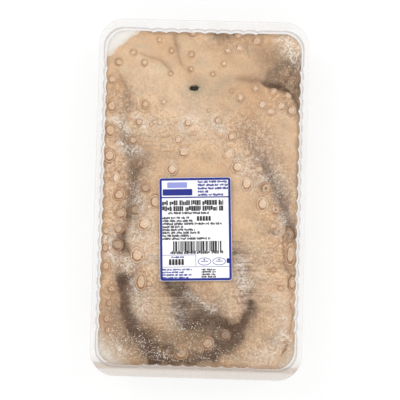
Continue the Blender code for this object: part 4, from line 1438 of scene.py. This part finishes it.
def makeLabel():
    rng = random.Random(labelForm["seed"])
    width, height = labelForm["size"]
    sheet = bmesh.new()
    corner = (labelForm["radius"],) * 2
    thicken(sheet, [roundedFace(sheet, 0, 0, width, height, corner, labelBase, 6)], labelForm["thick"])
    onLabel(sheet)
    paper = makePiece("labelSheet", sheet, makePaperFinish(), smooth=False)
    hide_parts("label")

    blue = bmesh.new()
    edge = 0.25
    ringPatch(blue, edge, edge, width - edge, height - edge, (2.0, 2.0), labelForm["border"])
    bar(blue, 1.1, 13.9, width - 1.1, 14.8)
    roundedPatch(blue, 2.6, 8.3, 24.2, 13.0, 0.8)
    for row, short in enumerate((0, 0, 0, 14, 2.5)):
        top = 2.4 + row * 2.35
        dashRow(blue, rng, 28.2, 50.0 - short, top, top + 1.7, grain=0.95)
    bar(blue, 1.2, 56.0, 26.2, 56.3)
    bar(blue, 26.0, 56.3, 26.3, 64.6)
    bar(blue, 1.2, 64.6, width - 1.2, 64.9)
    dashRow(blue, rng, 8.5, 17.5, 57.1, 58.3, grain=0.8)
    for left in (27.6, 38.2):
        ringPatch(blue, left, 58.2, left + 9.6, 63.8, (4.8, 2.8), 0.42, steps=9)
        bar(blue, left + 2.2, 60.6, left + 7.4, 61.1)
        bar(blue, left + 4.2, 59.2, left + 5.4, 60.1)
    roundedPatch(blue, 48.4, 58.8, 50.6, 62.4, 1.0)
    for row, length in enumerate((21.5, 15.5, 21.5, 19.0)):
        top = 66.0 + row * 1.95
        dashRow(blue, rng, 1.8, 1.8 + length, top, top + 1.3, grain=0.8)
    finishPrint(blue, "labelBluePrint", "blueInk")

    soft = bmesh.new()
    roundedPatch(soft, 6.0, 3.4, 20.5, 7.5, 0.8)
    finishPrint(soft, "labelPaleField", "paleBlueInk")

    black = bmesh.new()
    dashRow(black, rng, 2.2, 46.5, 16.5, 20.1, grain=1.5)
    dashRow(black, rng, 2.2, 46.5, 20.7, 24.3, grain=1.5)
    dashRow(black, rng, 6.5, 36.0, 24.9, 26.6)
    for left in np.linspace(27.2, 35.6, 5):
        roundedPatch(black, left, 28.1, left + 1.75, 31.6, 0.4, steps=2)
    for row, length in enumerate((19.5, 22.0, 43.0, 15.0, 24.0, 27.0, 20.5, 35.0)):
        top = 28.4 + row * 2.15
        end = min(2.2 + length, 25.5) if row < 2 else 2.2 + length
        dashRow(black, rng, 2.2, end, top, top + 1.7)
    # a row of upright bars of uneven width
    x = 9.8
    while x < 44.6:
        stroke = rng.choice((0.55, 0.55, 1.0, 1.5))
        bar(black, x, 46.2, min(x + stroke, 45), 53.6)
        x += stroke + rng.choice((0.3, 0.3, 0.5, 0.85))
    dashRow(black, rng, 7.8, 46.0, 53.2, 55.4, grain=1.3)
    for left in np.linspace(6.6, 15.6, 5):
        roundedPatch(black, left, 59.0, left + 1.9, 63.4, 0.5, steps=2)
    for row in range(4):
        top = 66.2 + row * 1.7
        dashRow(black, rng, 30.2, 40.4, top, top + 1.35)
    finishPrint(black, "labelBlackPrint", "blackInk")
    print("label done")


setup = {
    "cameraAt": (0.0190, -0.0426, 0.9293),
    "cameraTurn": (2.667, 1.133, 1.602),
    "lens": 111.5,
    "floorHalf": 3.0,
    "floorWhite": 0.8,
    "worldStrength": 0.66,
    "lampPower": 9.6,
    "lampSize": 1.2,
    # where each lamp stands, and its share of the power
    "lamps": {
        "keyLamp": ((-1.3, 0.9, 1.5), 1.5),
        "fillLamp": ((1.4, 0.5, 1.4), 1.0),
        "frontLamp": ((0.1, -1.7, 1.2), 1.0),
    },
}


def makeStage():
    bm = bmesh.new()
    bmesh.ops.create_grid(bm, x_segments=1, y_segments=1, size=setup["floorHalf"])
    mesh = bpy.data.meshes.new("floor")
    bm.to_mesh(mesh)
    bm.free()
    floor = bpy.data.objects.new("floor", mesh)
    floor.location.z = -0.0002
    bpy.context.scene.collection.objects.link(floor)
    finish = Finish("floorPaper", Roughness=0.9, Specular_IOR_Level=0.0)
    grain = finish.place.noise(40, detail=2)
    finish.set(Base_Color=finish.color((0.96, 0.96, 0.955)).mix((0.98, 0.98, 0.975), grain))
    # the camera sees the floor nearly white, with a faint shadow left
    tree = finish.tree
    seen = Wire(tree, tree.nodes.new("ShaderNodeLightPath").outputs["Is Camera Ray"])
    white = seen.add("ShaderNodeEmission", {"Color": (1.0, 1.0, 1.0, 1.0), "Strength": 1.0})
    lit = Wire(tree, finish.shader.outputs[0])
    shown = seen.add("ShaderNodeMixShader", {0: seen * setup["floorWhite"], 1: lit, 2: white})
    tree.links.new(shown.socket, tree.nodes["Material Output"].inputs["Surface"])
    floor.data.materials.append(finish.material)

    world = bpy.data.worlds.new("studio")
    world.use_nodes = True
    tree = world.node_tree
    background = tree.nodes["Background"]
    background.inputs["Color"].default_value = (1, 1, 1, 1)
    path = tree.nodes.new("ShaderNodeLightPath").outputs
    rays = (path["Is Camera Ray"], path["Is Transmission Ray"], path["Is Glossy Ray"])
    straight, through, glossy = (Wire(tree, ray) for ray in rays)
    seen = (straight + through + glossy).clamp()
    strength = setup["worldStrength"] + seen * (1 - setup["worldStrength"])
    tree.links.new(strength.socket, background.inputs["Strength"])
    bpy.context.scene.world = world

    for name, (place, share) in setup["lamps"].items():
        lamp = bpy.data.lights.new(name, "AREA")
        lamp.shape = "DISK"
        lamp.size = setup["lampSize"]
        lamp.energy = setup["lampPower"] * share
        holder = bpy.data.objects.new(name, lamp)
        holder.location = place
        holder.rotation_euler = (-Vector(place)).to_track_quat("-Z", "Y").to_euler()
        bpy.context.scene.collection.objects.link(holder)

    camera = bpy.data.cameras.new("camera")
    camera.lens = setup["lens"]
    camera.sensor_width = 36.0
    camera.clip_start = 0.01
    camera.clip_end = 50
    holder = bpy.data.objects.new("camera", camera)
    holder.location = setup["cameraAt"]
    holder.rotation_euler = [math.radians(angle) for angle in setup["cameraTurn"]]
    bpy.context.scene.collection.objects.link(holder)
    bpy.context.scene.camera = holder
    bpy.context.scene.view_settings.view_transform = "Standard"


makeOctopusBody()
makeSuckers()
makeFrostCrystals()
for node, cut in iceCuts.items():
    makeIceCorner(node, cut)
makeTray()
makeFilm()
makeLabel()
makeStage()
